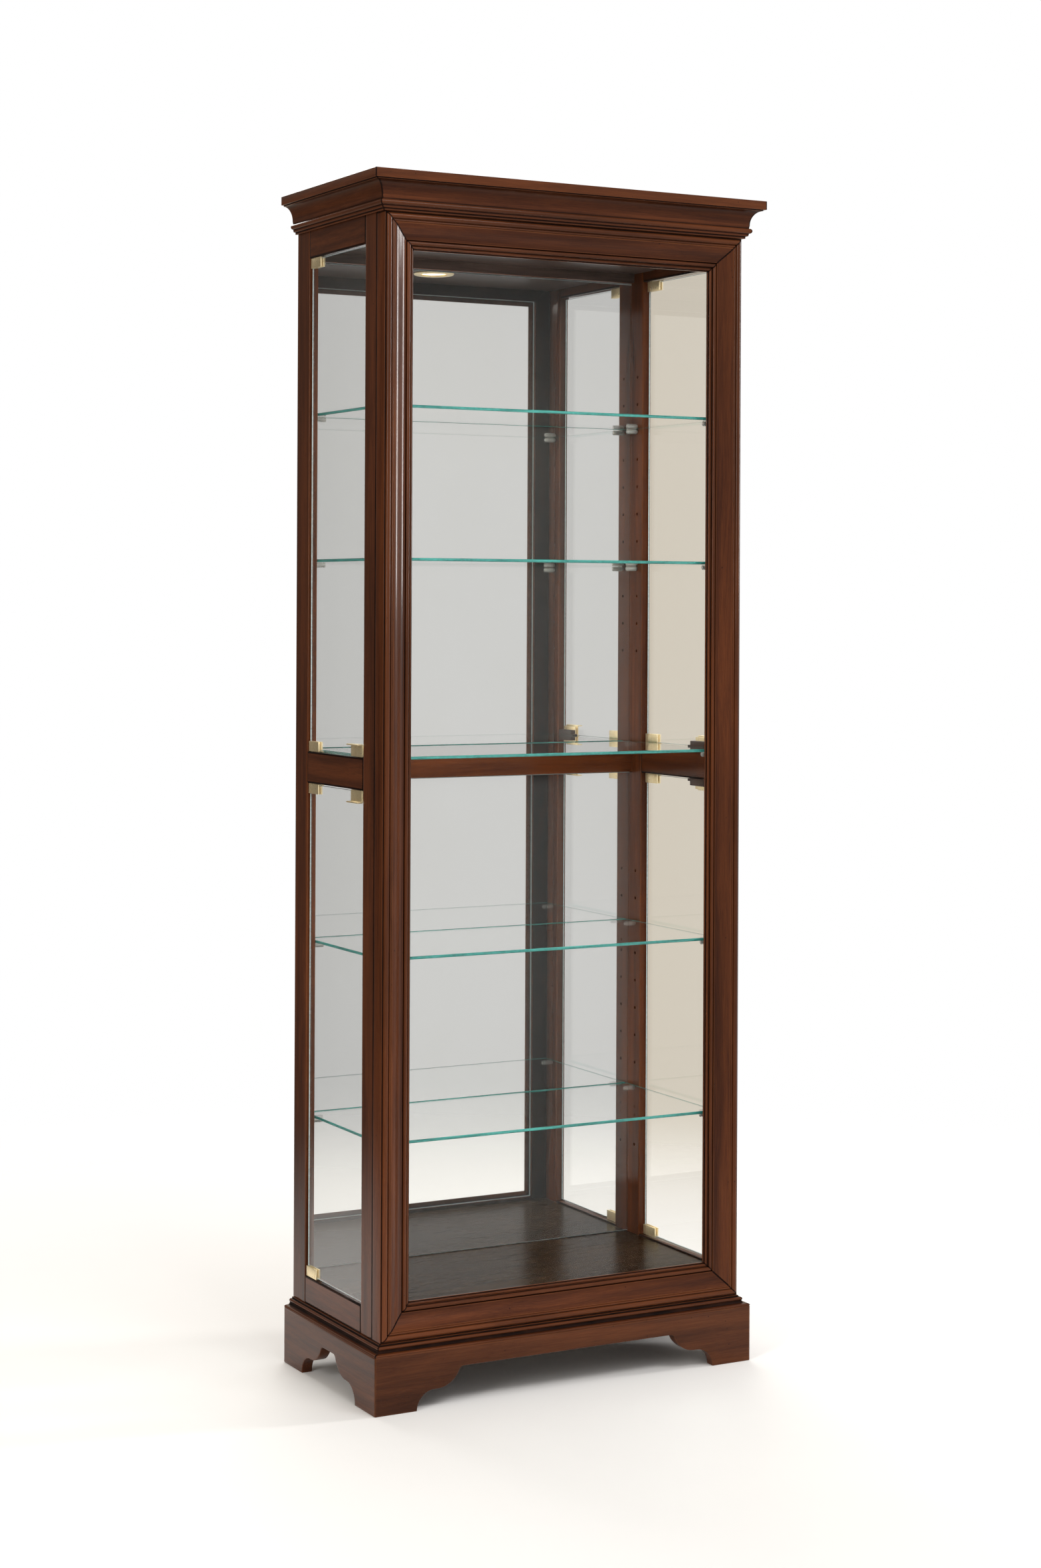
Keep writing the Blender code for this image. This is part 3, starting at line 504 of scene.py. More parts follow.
def newObject(name, data):
    obj = bpy.data.objects.new(name, data)
    bpy.context.scene.collection.objects.link(obj)
    return obj


def meshFrom(name, bm, *materials):
    mesh = bpy.data.meshes.new(name)
    bm.to_mesh(mesh)
    bm.free()
    for material in materials:
        mesh.materials.append(material)
    return mesh


def toObject(name, bm, materials, smooth=38.0):
    name = camelName(name)
    bmesh.ops.recalc_face_normals(bm, faces=bm.faces)
    mesh = meshFrom(name, bm, *(materials if isinstance(materials, list) else [materials]))
    mesh.shade_smooth()
    mesh.set_sharp_from_angle(angle=math.radians(smooth))
    return newObject(name, mesh)


def mount(obj, body, slotName, *nodes):
    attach(obj, body)
    if nodes:
        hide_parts(*nodes)
    return obj


def sharpEdges(bm, least=30.0):
    limit = math.radians(least)
    return [e for e in bm.edges if len(e.link_faces) == 2 and e.calc_face_angle(0.0) > limit]


def ease(bm, width, steps=3, ring=0.0026):
    # rounds every arris, then runs a narrow ring inside each broad face so that the wear and painted shade
    # marks stay at its edge
    bmesh.ops.bevel(bm, geom=sharpEdges(bm), offset=width, segments=steps, profile=0.5, affect="EDGES")
    bm.normal_update()
    broad = [f for f in bm.faces if f.calc_area() > 30 * ring * ring]
    broad = [f for f in broad if min(e.calc_length() for e in f.edges) > 0]
    broad = [f for f in broad if f.calc_area() / f.calc_perimeter() > ring * 0.9]
    if broad:
        bmesh.ops.inset_individual(bm, faces=broad, thickness=ring, use_even_offset=True)


def wearAndShadeBoard(bm, arris):
    ease(bm, arris)
    bm.normal_update()
    return markWearAndShade(bm, 2.2)


def boxMesh(low, high):
    bm = newMesh()
    bmesh.ops.create_cube(bm, size=1.0)
    size = Vector(high) - Vector(low)
    bmesh.ops.scale(bm, vec=size, verts=bm.verts)
    bmesh.ops.translate(bm, vec=(Vector(low) + Vector(high)) / 2, verts=bm.verts)
    return bm


def bridge(bm, rings):
    for one, two in zip(rings, rings[1:]):
        for i in range(len(one)):
            j = (i + 1) % len(one)
            bm.faces.new((one[i], one[j], two[j], two[i]))


def prismMesh(*outlines):
    bm = newMesh()
    rings = [[bm.verts.new(point) for point in outline] for outline in outlines]
    bm.faces.new(rings[0])
    bm.faces.new(rings[-1])
    bridge(bm, rings)
    bmesh.ops.recalc_face_normals(bm, faces=bm.faces)
    return bm


def addCylinder(bm, start, direction, length, radius, around=20):
    turn = Vector((0, 0, 1)).rotation_difference(Vector(direction)).to_matrix().to_4x4()
    middle = Vector(start) + Vector(direction) * length / 2
    bmesh.ops.create_cone(
        bm,
        cap_ends=True,
        segments=around,
        radius1=radius,
        radius2=radius,
        depth=length,
        matrix=Matrix.Translation(middle) @ turn,
    )


def cutHoles(obj, holes):
    # each hole is (start, direction, length, radius)
    bm = bmesh.new()
    for start, direction, length, radius in holes:
        addCylinder(bm, start, direction, length, radius)
    bmesh.ops.recalc_face_normals(bm, faces=bm.faces)
    mesh = meshFrom("drill", bm)
    drill = newObject("drill", mesh)
    cut = obj.modifiers.new("holes", "BOOLEAN")
    cut.object = drill
    cut.operation = "DIFFERENCE"
    cut.solver = "EXACT"
    bpy.context.view_layer.update()
    graph = bpy.context.evaluated_depsgraph_get()
    drilled = bpy.data.meshes.new_from_object(obj.evaluated_get(graph), depsgraph=graph)
    obj.modifiers.clear()
    old = obj.data
    obj.data = drilled
    drilled.name = obj.name
    bpy.data.meshes.remove(old)
    bpy.data.objects.remove(drill, do_unlink=True)
    bpy.data.meshes.remove(mesh)


def arc(centre, radii, start, end, steps):
    points = []
    for i in range(steps + 1):
        turn = math.radians(start + (end - start) * i / steps)
        points.append((centre[0] + radii[0] * math.cos(turn), centre[1] + radii[1] * math.sin(turn)))
    return points


def softened(points, radius, least=24.0):
    # rounds each sharp corner of a closed outline
    count = len(points)
    made = []
    for i in range(count):
        before, here, after = Vector(points[i - 1]), Vector(points[i]), Vector(points[(i + 1) % count])
        back, on = before - here, after - here
        turn = math.degrees(math.pi - back.angle(on, math.pi)) if back.length and on.length else 0.0
        if turn < least:
            made.append(tuple(here))
            continue
        reach = min(radius, back.length * 0.42, on.length * 0.42)
        start = here + back.normalized() * reach
        end = here + on.normalized() * reach
        for t in (0.0, 0.33, 0.67, 1.0):
            point = start * (1 - t) ** 2 + here * 2 * t * (1 - t) + end * t * t
            made.append(tuple(point))
    return made


def moulding(name, profile, start, end, axis, node, seams=(True, True), seamY=None):
    # a length of moulding from one end's outline to the other's, with the glaze caught in its mitres
    ringA = [Vector(start(u, v)) for u, v in profile]
    ringB = [Vector(end(u, v)) for u, v in profile]
    length = (ringB[0] - ringA[0]).length
    near = 0.0022 / length
    shares = (0.0, near, 0.25, 0.5, 0.75, 1.0 - near, 1.0)
    bm = newMesh()
    rings = [[bm.verts.new(a.lerp(b, share)) for a, b in zip(ringA, ringB)] for share in shares]
    bm.faces.new(rings[0])
    bm.faces.new(rings[-1])
    bridge(bm, rings)
    bmesh.ops.recalc_face_normals(bm, faces=bm.faces)
    layer = markWearAndShade(bm, 1.3)
    for ring, seamed in ((rings[0], seams[0]), (rings[-1], seams[1])):
        for vert in ring:
            vert[layer] = -0.9 if seamed else 0.2
    if seamY is not None:
        darken(bm, layer, lambda place: place.y > seamY - 0.0004)
    obj = toObject(name, bm, cherry)
    markGrain(obj.data, axis)
    return mount(obj, root, "cherry_wood", node)


def board(node, axis, arris=0.0010, material=cherry, slotName="cherry_wood", holes=(), seam=None):
    bm = boxMesh(*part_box(node))
    layer = wearAndShadeBoard(bm, arris)
    if seam:
        darken(bm, layer, seam)
    obj = toObject(node, bm, material)
    if holes:
        cutHoles(obj, holes)
    markGrain(obj.data, axis)
    return mount(obj, root, slotName, node)


# ---- cornice

corniceLooks = {
    "overhang": 0.032,
    "fillet": (0.0050, 0.0035),
    "bead": 0.0045,
    "beadSeat": 0.0095,
    "coveStart": 0.0105,
    "coveBack": 0.0045,
    "coveFoot": 0.0230,
    "coveRise": 0.0245,
    "fascia": 0.0150,
    "corner": 0.0008,
}


def corniceOutline(looks):
    out, bead, (fillet, rise) = looks["overhang"], looks["bead"], looks["fillet"]
    foot, seat = caseTop + fit, caseTop + fit + rise
    coveEnd, fascia = out - looks["coveBack"], topZ - looks["fascia"]
    points = [(fit, foot), (fillet, foot), (fillet, seat)]
    points += [(looks["beadSeat"] - bead * 0.2, seat + looks["corner"])]
    points += arc((looks["beadSeat"], seat + fillet + bead), (bead, bead), -90, 90, 14)
    coveReach = looks["coveStart"] - coveEnd
    points += arc((coveEnd, foot + looks["coveFoot"]), (coveReach, looks["coveRise"]), 0, 90, 18)
    points += [(coveEnd, fascia), (out, fascia), (out, topZ), (fit, topZ)]
    return softened(points, looks["corner"], 40.0)


mitre = 0.0002  # what each length gives up at a mitre
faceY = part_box("cornice_front")[0].y + corniceLooks["overhang"]


def wrapCase(node, shape):
    # a moulding along both sides and the front, mitred at the front corners
    for side, sign in sides.items():
        moulding(
            f"{node}_{side}",
            shape,
            lambda e, z: (sign * (caseHalf + e), faceY - e + mitre, z),
            lambda e, z: (sign * (caseHalf + e), backY, z),
            1,
            f"{node}_{side}",
            seams=(True, False),
        )
    moulding(
        f"{node}_front",
        shape,
        lambda e, z: (-caseHalf - e + mitre, faceY - e, z),
        lambda e, z: (caseHalf + e - mitre, faceY - e, z),
        0,
        f"{node}_front",
    )


wrapCase("cornice", corniceOutline(corniceLooks))
header = boxMesh((-caseHalf, faceY + fit, caseTop + fit), (caseHalf, frameBackY - fit, topZ))
wearAndShadeBoard(header, 0.0006)
headerBoard = toObject("cornice header", header, cherry)
markGrain(headerBoard.data, 0)
mount(headerBoard, root, "cherry_wood")

# ---- base cap

capLooks = {
    "seat": 0.045,
    "ledge": (0.0020, 0.0027),
    "bead": 0.0030,
    "hollow": (0.0032, 0.0030),
    "hollowPlace": 0.0100,
    "lip": 0.0030,
    "overhang": 0.0169,
    "corner": 0.0006,
}


def capOutline(looks):
    (ledge, drop), bead, (hollow, rise), lip = looks["ledge"], looks["bead"], looks["hollow"], looks["lip"]
    foot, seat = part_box("base_cap_front")[0].z, caseBottom - drop
    points = [(-looks["seat"], caseBottom), (ledge, caseBottom), (ledge, seat)]
    points += arc((ledge + 0.0008 + bead / 2, seat - bead), (bead, bead), 90, -50, 12)
    points += arc((looks["hollowPlace"], foot + lip + hollow), (-hollow, -rise), 0, 90, 8)
    points += arc((looks["overhang"] - lip, foot), (lip, lip), 90, 0, 8)
    points.append((-looks["seat"], foot))
    return softened(points, looks["corner"], 50.0)


wrapCase("base_cap", capOutline(capLooks))

# ---- front frame

frameLooks = {
    "depth": 0.030,
    "width": 0.060,
    "lip": 0.010,
    "glassSeat": 0.020,
    "outerBeads": ((0.0025, 0.0005, 0.0047, 0.0047), (0.0128, 0.0012, 0.0018, 0.0022)),
    "innerBeads": ((0.0145, -0.0115, 0.0033, 0.0035), (0.0066, -0.0150, 0.0022, 0.0024)),
    "outerQuirk": 0.0012,
    "innerQuirk": -0.0135,
    "innerEdge": -0.0165,
    # where the field starts, its height there, where it ends from the inner edge, its height there
    "field": (0.0175, 0.0030, 0.0165, -0.0105),
    "slope": 0.55,
    "corner": 0.0007,
}


def beadArc(start, base, radius, rise):
    return arc((start + radius, base), (radius, rise), 180, 0, 14)


def frameOutline(looks):
    back, inner = -looks["depth"], looks["width"]
    outer, fillet = looks["outerBeads"]
    fieldStart, fieldTop, fieldEnd, fieldFoot = looks["field"]
    points = [(0.0, back), (0.0, back + 0.0022), (0.0, 0.0), (outer[0], 0.0)]
    points += beadArc(*outer) + [(outer[0] + 2 * outer[2], looks["outerQuirk"])] + beadArc(*fillet)
    points.append((fillet[0] + 2 * fillet[2], fieldTop - 0.0008))
    fieldEnd = inner - fieldEnd
    for i in range(21):
        along = i / 20
        fall = looks["slope"] * along + (1 - looks["slope"]) * (1 - math.cos(math.pi * along)) / 2
        place = fieldStart + (fieldEnd - fieldStart) * along
        points.append((place, fieldTop + (fieldFoot - fieldTop) * fall))
    points.append((fieldEnd + 0.0008, looks["innerQuirk"]))
    for start, base, radius, rise in looks["innerBeads"]:
        points.append((inner - start, looks["innerQuirk"]))
        points += beadArc(inner - start, base, radius, rise)
        points.append((inner - start + 2 * radius, looks["innerQuirk"]))
    points[-1] = (points[-1][0], looks["innerEdge"])
    points += [(inner, looks["innerEdge"]), (inner, -looks["glassSeat"])]
    points += [(inner - looks["lip"], -looks["glassSeat"]), (inner - looks["lip"], back)]
    # points that repeat would leave edges with no length
    kept = [points[0]]
    for point in points[1:]:
        if math.dist(point, kept[-1]) > 0.00005:
            kept.append(point)
    return softened(kept, looks["corner"], 60.0)


frameShape = frameOutline(frameLooks)
low, high = caseBottom + fit, caseTop
for side, sign in sides.items():
    moulding(
        f"front stile {side}",
        frameShape,
        lambda s, h: (sign * (caseHalf - s), faceY - h, low + s + mitre),
        lambda s, h: (sign * (caseHalf - s), faceY - h, high - s - mitre),
        2,
        f"front_frame_{side}",
        seamY=frameBackY,
    )
for level, edge, inward in (("bottom", low, 1), ("top", high, -1)):
    moulding(
        f"front rail {level}",
        frameShape,
        lambda s, h: (-caseHalf + s + mitre, faceY - h, edge + inward * s),
        lambda s, h: (caseHalf - s - mitre, faceY - h, edge + inward * s),
        0,
        f"front_frame_{level}",
        seamY=frameBackY,
    )
print("mouldings made")

# ---- plinth

plinthLooks = {
    "board": 0.019,
    "footWidth": 0.077,
    "scoop": 0.032,
    "lobe": 0.0455,
    "lobeEnd": -22,  # degrees round the middle of the lobe
    "shelf": 0.005,
    "apron": 0.064,
    "apronEase": (0.0040, 0.0005),
    "arris": 0.0011,
}


def footOutline(looks):
    scoopMiddle = looks["footWidth"] + looks["scoop"]
    lobeMiddle = scoopMiddle + looks["shelf"]
    points = arc((scoopMiddle, 0.0), (looks["scoop"], looks["scoop"]), 180, 90, 16)
    lobe = looks["lobe"]
    points += arc((lobeMiddle, looks["scoop"] + lobe), (lobe, lobe), -90, looks["lobeEnd"], 16)
    end = points[-1]
    run, rise = looks["apronEase"]
    points.append((end[0] + run, looks["apron"] - rise))
    points.append((end[0] + 2 * run, looks["apron"]))
    return points


def plinthBoard(node, place, length, corners, axis):
    looks = plinthLooks
    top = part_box(node)[1].z
    foot = footOutline(looks)
    outline = [(0.0, 0.0)] + foot + [(length - u, z) for u, z in reversed(foot)]
    outline += [(length, 0.0), (length, top), (0.0, top)]

    def ring(depth):
        points = []
        for u, z in outline:
            along = u
            if u == 0.0 and corners[0]:
                along = mitre + depth
            elif u == length and corners[1]:
                along = length - mitre - depth
            points.append(place(along, depth, z))
        return points

    bm = prismMesh(ring(0.0), ring(looks["board"]))
    wearAndShadeBoard(bm, looks["arris"])
    obj = toObject(node, bm, plinthCherry)
    markGrain(obj.data, axis)
    return mount(obj, root, "cherry_wood", node)


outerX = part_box("plinth_right")[1].x
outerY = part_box("plinth_front")[0].y
plinthBoard(
    "plinth_front",
    lambda along, depth, z: (-outerX + along, outerY + depth, z),
    2 * outerX,
    (True, True),
    0,
)
for side, sign in sides.items():
    plinthBoard(
        f"plinth_{side}",
        lambda along, depth, z: (sign * (outerX - depth), backY - along, z),
        backY - outerY,
        (False, True),
        1,
    )
board("plinth_back", 0)

# ---- posts and rails

pinLooks = {
    "radius": 0.0025,
    "sleeve": 0.0045,
    "sleeveFrom": 0.0025,  # off the face of the post
    "sleeveTo": 0.0225,
    "ribs": 5,
    "pitch": 0.0508,
    "holeDepth": 0.009,
    "edge": 0.018,
    "drop": 0.0098,  # pin centre below the top of its shelf
    "lowerRow": (0.3226, 11),
    "upperRow": (1.23835, 11),
}
shelfTops = [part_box(f"shelf_{i}")[1].z for i in range(1, 6)]
holeHeights = [shelfTops[2] - pinLooks["drop"]]
for rowFoot, count in (pinLooks["lowerRow"], pinLooks["upperRow"]):
    holeHeights += [rowFoot + pinLooks["pitch"] * i for i in range(count)]
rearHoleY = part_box("rear_post_left")[0].y + pinLooks["edge"]
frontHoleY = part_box("front_post_left")[1].y - pinLooks["edge"]


def pinHoles(sign, y):
    depth, radius = pinLooks["holeDepth"], pinLooks["radius"] + fit
    return [((sign * (postInner - depth), y, z), (sign, 0, 0), 2 * depth, radius) for z in holeHeights]


postLooks = {"lap": 0.012, "rebate": 0.1842, "arris": 0.0012, "seam": 0.0018}
railLooks = {"boreDepth": 0.017, "boreRadius": 0.0034, "seam": 0.0014}
pivotX, pivotY = 0.3405, 0.1335  # the doors' hinge pins
for side, sign in sides.items():
    low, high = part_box(f"rear_post_{side}")
    lapX, rebate = postInner + postLooks["lap"], postLooks["rebate"]
    outline = [(caseHalf, low.y), (caseHalf, backY), (lapX, backY)]
    outline += [(lapX, rebate), (postInner, rebate), (postInner, low.y)]
    bm = prismMesh(*[[(sign * x, y, z) for x, y in outline] for z in (low.z, high.z)])
    wearAndShadeBoard(bm, postLooks["arris"])
    node = f"rear_post_{side}"
    post = toObject(node, bm, cherry)
    cutHoles(post, pinHoles(sign, rearHoleY))
    markGrain(post.data, 2)
    mount(post, root, "cherry_wood", node)
    board(
        f"front_post_{side}",
        2,
        arris=postLooks["arris"],
        holes=pinHoles(sign, frontHoleY),
        seam=lambda place: place.y < frameBackY + postLooks["seam"],
    )
    for level in ("top", "middle", "bottom"):
        node = f"side_rail_{level}_{side}"
        railLow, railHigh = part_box(node)
        edges = {"top": (railLow.z,), "middle": (railLow.z, railHigh.z), "bottom": (railHigh.z,)}
        depth, radius = railLooks["boreDepth"], railLooks["boreRadius"]
        holes = [((sign * pivotX, pivotY, z - depth / 2), (0, 0, 1), depth, radius) for z in edges[level]]
        board(
            node,
            1,
            holes=holes,
            seam=lambda place: min(place.y - railLow.y, railHigh.y - place.y) < railLooks["seam"],
        )
print("posts and rails made")

# ---- top, deck, ceiling and back

board("top_board", 0)
board("deck", 0, material=deckWood, slotName="dark_wood")
lampLooks = {"hole": 0.030, "sleeve": 0.002, "sleeveHeight": 0.014, "trim": 0.038, "trimThick": 0.003}
lampLow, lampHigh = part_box("lamp_can")
lampX, lampY = (lampLow.x + lampHigh.x) / 2, (lampLow.y + lampHigh.y) / 2
low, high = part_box("ceiling")
ceilingFoot = high.z - 0.016  # the panel's own thickness
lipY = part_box("back_rail")[0].y  # a lip along the back comes down to the top of the mirror
outline = [(low.y, ceilingFoot), (lipY, ceilingFoot), (lipY, low.z)]
outline += [(high.y, low.z), (high.y, high.z), (low.y, high.z)]
bm = prismMesh(*[[(x, y, z) for y, z in outline] for x in (low.x, high.x)])
wearAndShadeBoard(bm, 0.0008)
for face in bm.faces:
    face.material_index = int(face.calc_center_median().z < low.z + 0.0015)
ceilingBoard = toObject("ceiling board", bm, [ceilingWood, cherry])
cutHoles(ceilingBoard, [((lampX, lampY, ceilingFoot - 0.02), (0, 0, 1), 0.06, lampLooks["hole"])])
markGrain(ceilingBoard.data, 0)
mount(ceilingBoard, root, "dark_wood", "ceiling")
board("back_rail", 0)

backLow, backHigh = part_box("back_board")
bm = boxMesh(backLow, backHigh)
ease(bm, 0.0006)
backPanel = toObject("back panel", bm, hardboard)
mount(backPanel, root, "backing_board", "back_board")

screwLooks = {"radius": 0.0033, "inset": 0.0065, "spacing": 0.19, "endGap": 0.015}


def addScrew(bm, centre, direction, radius, proud):
    # a low domed head with a cross cut into it
    turn = Vector((0, 0, 1)).rotation_difference(Vector(direction)).to_matrix().to_4x4()
    place = Matrix.Translation(Vector(centre)) @ turn
    shape = ((0.30, proud), (0.62, proud * 0.92), (0.90, proud * 0.55), (1.0, 0.0), (1.0, -0.0005))
    centrePoint = bm.verts.new(place @ Vector((0, 0, proud - 0.0004)))
    around = 24
    rings = []
    for share, height in shape:
        ring = []
        for i in range(around):
            turned = math.tau * i / around
            across, up = radius * share * math.cos(turned), radius * share * math.sin(turned)
            cut = 0.0006 if share < 0.7 and i % 6 == 0 else 0.0
            ring.append(bm.verts.new(place @ Vector((across, up, height - cut))))
        rings.append(ring)
    for i in range(around):
        bm.faces.new((centrePoint, rings[0][i], rings[0][(i + 1) % around]))
    for one, two in zip(rings, rings[1:]):
        for i in range(around):
            j = (i + 1) % around
            bm.faces.new((one[i], two[i], two[j], one[j]))
    bm.faces.new(list(reversed(rings[-1])))


bm = bmesh.new()
rows = int((backHigh.z - backLow.z) / screwLooks["spacing"])
for i in range(rows + 1):
    z = backLow.z + screwLooks["endGap"] + (backHigh.z - backLow.z - 2 * screwLooks["endGap"]) * i / rows
    for sign in (-1, 1):
        x = sign * (backHigh.x - screwLooks["inset"])
        addScrew(bm, (x, backHigh.y - 0.0001, z), (0, 1, 0), screwLooks["radius"], 0.0002)
mount(toObject("back screws", bm, steel), root, "lamp_metal")

# ---- mirrors, shelves and glass

paneLooks = {"mirrorArris": 0.0016, "shelfArris": 0.0009, "doorArris": 0.0007, "frontArris": 0.0006}


def pane(name, node, body, slotName, materials, thin, arris):
    # a sheet: the second material is on its ground rim, the third, if any, on its back
    bm = boxMesh(*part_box(node))
    bmesh.ops.bevel(bm, geom=bm.edges[:], offset=arris, segments=1, profile=0.5, affect="EDGES")
    bm.normal_update()
    back = len(materials) - 1 if len(materials) > 2 else 0
    for face in bm.faces:
        facing = face.normal[thin]
        face.material_index = 1 if abs(facing) <= 0.99 else 0 if facing < 0 else back
    return mount(toObject(name, bm, materials, 20.0), body, slotName, node)


# the ground rims carry the pale edge colour: partly the ground glass's own paleness, partly painted
# highlight and painted glow
backed = [silver, paleEdgePaintedGlow, moulded["mirrorPaint"]]
for level in ("lower", "upper"):
    pane(f"mirror {level}", f"mirror_{level}", root, "mirror", backed, 1, paneLooks["mirrorArris"])
shelfGlass = [clearGlass, tealEdgePaintedGlow]
for i in range(1, 6):
    pane(f"shelf {i}", f"shelf_{i}", root, "clear_glass", shelfGlass, 2, paneLooks["shelfArris"])
pane("front pane", "front_glass", root, "clear_glass", [frontGlass, paleEdgePaintedGlow], 1, paneLooks["frontArris"])
doorGlass = [clearGlass, paleEdgePaintedGlow]
for level in ("upper", "lower"):
    for side in sides:
        node, body = f"door_glass_{level}_{side}", f"door_{level}_{side}"
        pane(f"door pane {level} {side}", node, body, "clear_glass", doorGlass, 0, paneLooks["doorArris"])
print("glass made")

# ---- shelf pins


def turnedShape(bm, place, profile, around=28):
    # profile is (radius, height) round the place's own z, closed at both ends
    turns = [math.tau * i / around for i in range(around)]
    rings = []
    for radius, height in profile:
        points = [(radius * math.cos(turn), radius * math.sin(turn), height) for turn in turns]
        rings.append([bm.verts.new(place @ Vector(point)) for point in points])
    bridge(bm, rings)
    bm.faces.new(list(reversed(rings[0])))
    bm.faces.new(rings[-1])


def sleeveProfile(looks):
    outer, length = looks["sleeve"], looks["sleeveTo"] - looks["sleeveFrom"]
    groove = outer - 0.0006
    points = [(outer - 0.0008, 0.0), (outer, 0.0006)]
    for i in range(1, looks["ribs"]):
        middle = length * i / looks["ribs"]
        points += [(outer, middle - 0.0007), (groove, middle - 0.0002)]
        points += [(groove, middle + 0.0002), (outer, middle + 0.0007)]
    return points + [(outer, length - 0.0006), (outer - 0.0010, length)]


def pinProfile(looks):
    radius, reach = looks["radius"], looks["holeDepth"] * 0.9 + looks["sleeveTo"]
    points = [(radius - 0.0005, 0.0), (radius, 0.0006), (radius, reach + 0.0002)]
    return points + [(radius - 0.0004, reach + 0.0008), (radius * 0.4, reach + 0.0011)]


sleeves, pins = bmesh.new(), bmesh.new()
for sign in sides.values():
    turn = Vector((0, 0, 1)).rotation_difference(Vector((-sign, 0, 0))).to_matrix().to_4x4()
    for top in shelfTops:
        for y in (rearHoleY, frontHoleY):
            z = top - pinLooks["drop"]
            sleeveX, pinX = postInner - pinLooks["sleeveFrom"], postInner + pinLooks["holeDepth"] * 0.9
            turnedShape(sleeves, Matrix.Translation((sign * sleeveX, y, z)) @ turn, sleeveProfile(pinLooks))
            turnedShape(pins, Matrix.Translation((sign * pinX, y, z)) @ turn, pinProfile(pinLooks))
mount(toObject("pin sleeves", sleeves, moulded["sleevePlastic"], 50.0), root, "clear_glass")
mount(toObject("steel pins", pins, steel, 50.0), root, "lamp_metal")

# ---- lamp

def turnedRing(bm, centre, profile, around=64):
    # a closed outline of (radius, height), swept round; a radius of 0 closes on the axis
    turns = [math.tau * i / around for i in range(around)]
    rings = []
    for radius, height in profile:
        bearings = turns if radius else turns[:1]
        points = [(radius * math.cos(turn), radius * math.sin(turn)) for turn in bearings]
        rings.append([bm.verts.new((centre[0] + x, centre[1] + y, centre[2] + height)) for x, y in points])
    for one, two in zip(rings, rings[1:] + rings[:1]):
        if len(one) == 1 and len(two) == 1:
            continue
        for i in range(around):
            j = (i + 1) % around
            corners = [one[i % len(one)], one[j % len(one)], two[j % len(two)], two[i % len(two)]]
            bm.faces.new(list(dict.fromkeys(corners)))


def lampPiece(node, profile, material, slotName, smooth=40.0):
    bm = bmesh.new()
    turnedRing(bm, (lampX, lampY, ceilingFoot), profile)
    return mount(toObject(node, bm, material, smooth), root, slotName, node)


sleeveOut = lampLooks["hole"] - fit
sleeveIn = sleeveOut - lampLooks["sleeve"]
rim, lip = lampLooks["trim"], -fit - lampLooks["trimThick"]
ledge = sleeveIn - 0.003
trimShape = [(sleeveOut, lampLooks["sleeveHeight"]), (sleeveIn, lampLooks["sleeveHeight"])]
trimShape += [(sleeveIn, -fit), (ledge, -fit), (ledge + 0.0002, lip + 0.0010)]
trimShape += [(ledge + 0.0010, lip + 0.0002), (ledge + 0.0022, lip)]
trimShape += [(rim - 0.0034, lip), (rim - 0.0016, lip + 0.0007)]
trimShape += [(rim - 0.0004, lip + 0.0017), (rim, -fit - 0.0004), (rim, -fit), (sleeveOut, -fit)]
lampPiece("lamp_trim", trimShape, brass, "lamp_metal")
lensRadius = sleeveIn - fit
lensShape = [(0.0, 0.003), (lensRadius, 0.003), (lensRadius, 0.0004), (lensRadius - 0.0005, 0.0001)]
lensShape += [(ledge - 0.0005, 0.0), (ledge * 0.75, -0.0010), (ledge * 0.45, -0.0017)]
lensShape += [(ledge * 0.15, -0.0020), (0.0, -0.0020)]
lampLens = lampPiece("lamp_lens", lensShape, lens, "lamp_glass", 60.0)
lampLens.visible_diffuse = False  # the spot below it lights the case
foot, crown, radius = lampLow.z - ceilingFoot, lampHigh.z - ceilingFoot, lampHigh.x - lampX
wall, groove = radius - 0.0015, radius - 0.0007
canShape = [(0.0, crown), (radius - 0.0025, crown), (radius - 0.0008, crown - 0.0008)]
canShape += [(radius, crown - 0.0025), (radius, crown - 0.010), (groove, crown - 0.0106)]
canShape += [(groove, crown - 0.0122), (radius, crown - 0.0128), (radius, foot), (wall, foot)]
canShape += [(wall, crown - 0.0015), (0.0, crown - 0.0015)]
lampPiece("lamp_can", canShape, nickel, "lamp_metal")

# ---- hinges, pulls and catches

hingeLooks = {
    "outer": 0.0025,
    "inner": 0.0032,
    "height": 0.0175,
    "railGap": 0.0005,
    "length": 0.040,
    "pin": 0.003,
    "pinLength": 0.0085,
    "arris": 0.0005,
    "screw": 0.0024,
    "screwSpacing": 0.020,
}
pullLooks = {
    "plate": 0.0022,
    "lip": 0.0085,
    "lipThick": 0.0022,
    "height": 0.0215,
    "inner": 0.0190,
    "arris": 0.0005,
}
catchLooks = {"tab": 0.008, "tabHeight": 0.005, "arris": 0.0007, "screw": 0.0026}
# both faces of the door glass, in from the side of the case, and the glass's gap above a rail
glassOuter, glassInner, endGap = 0.004 - fit, 0.009 + fit, 0.0025 - fit


def rounded(bm, arris):
    bmesh.ops.bevel(bm, geom=sharpEdges(bm), offset=arris, segments=3, profile=0.5, affect="EDGES")
    return bm


def channel(node, sign, outline, arris):
    # a channel that holds the edge of the glass: its outline, swept along y
    low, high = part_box(node)
    rings = [[(sign * (caseHalf - depth), y, z) for depth, z in outline] for y in (low.y, high.y)]
    return rounded(prismMesh(*rings), arris), (low.y + high.y) / 2


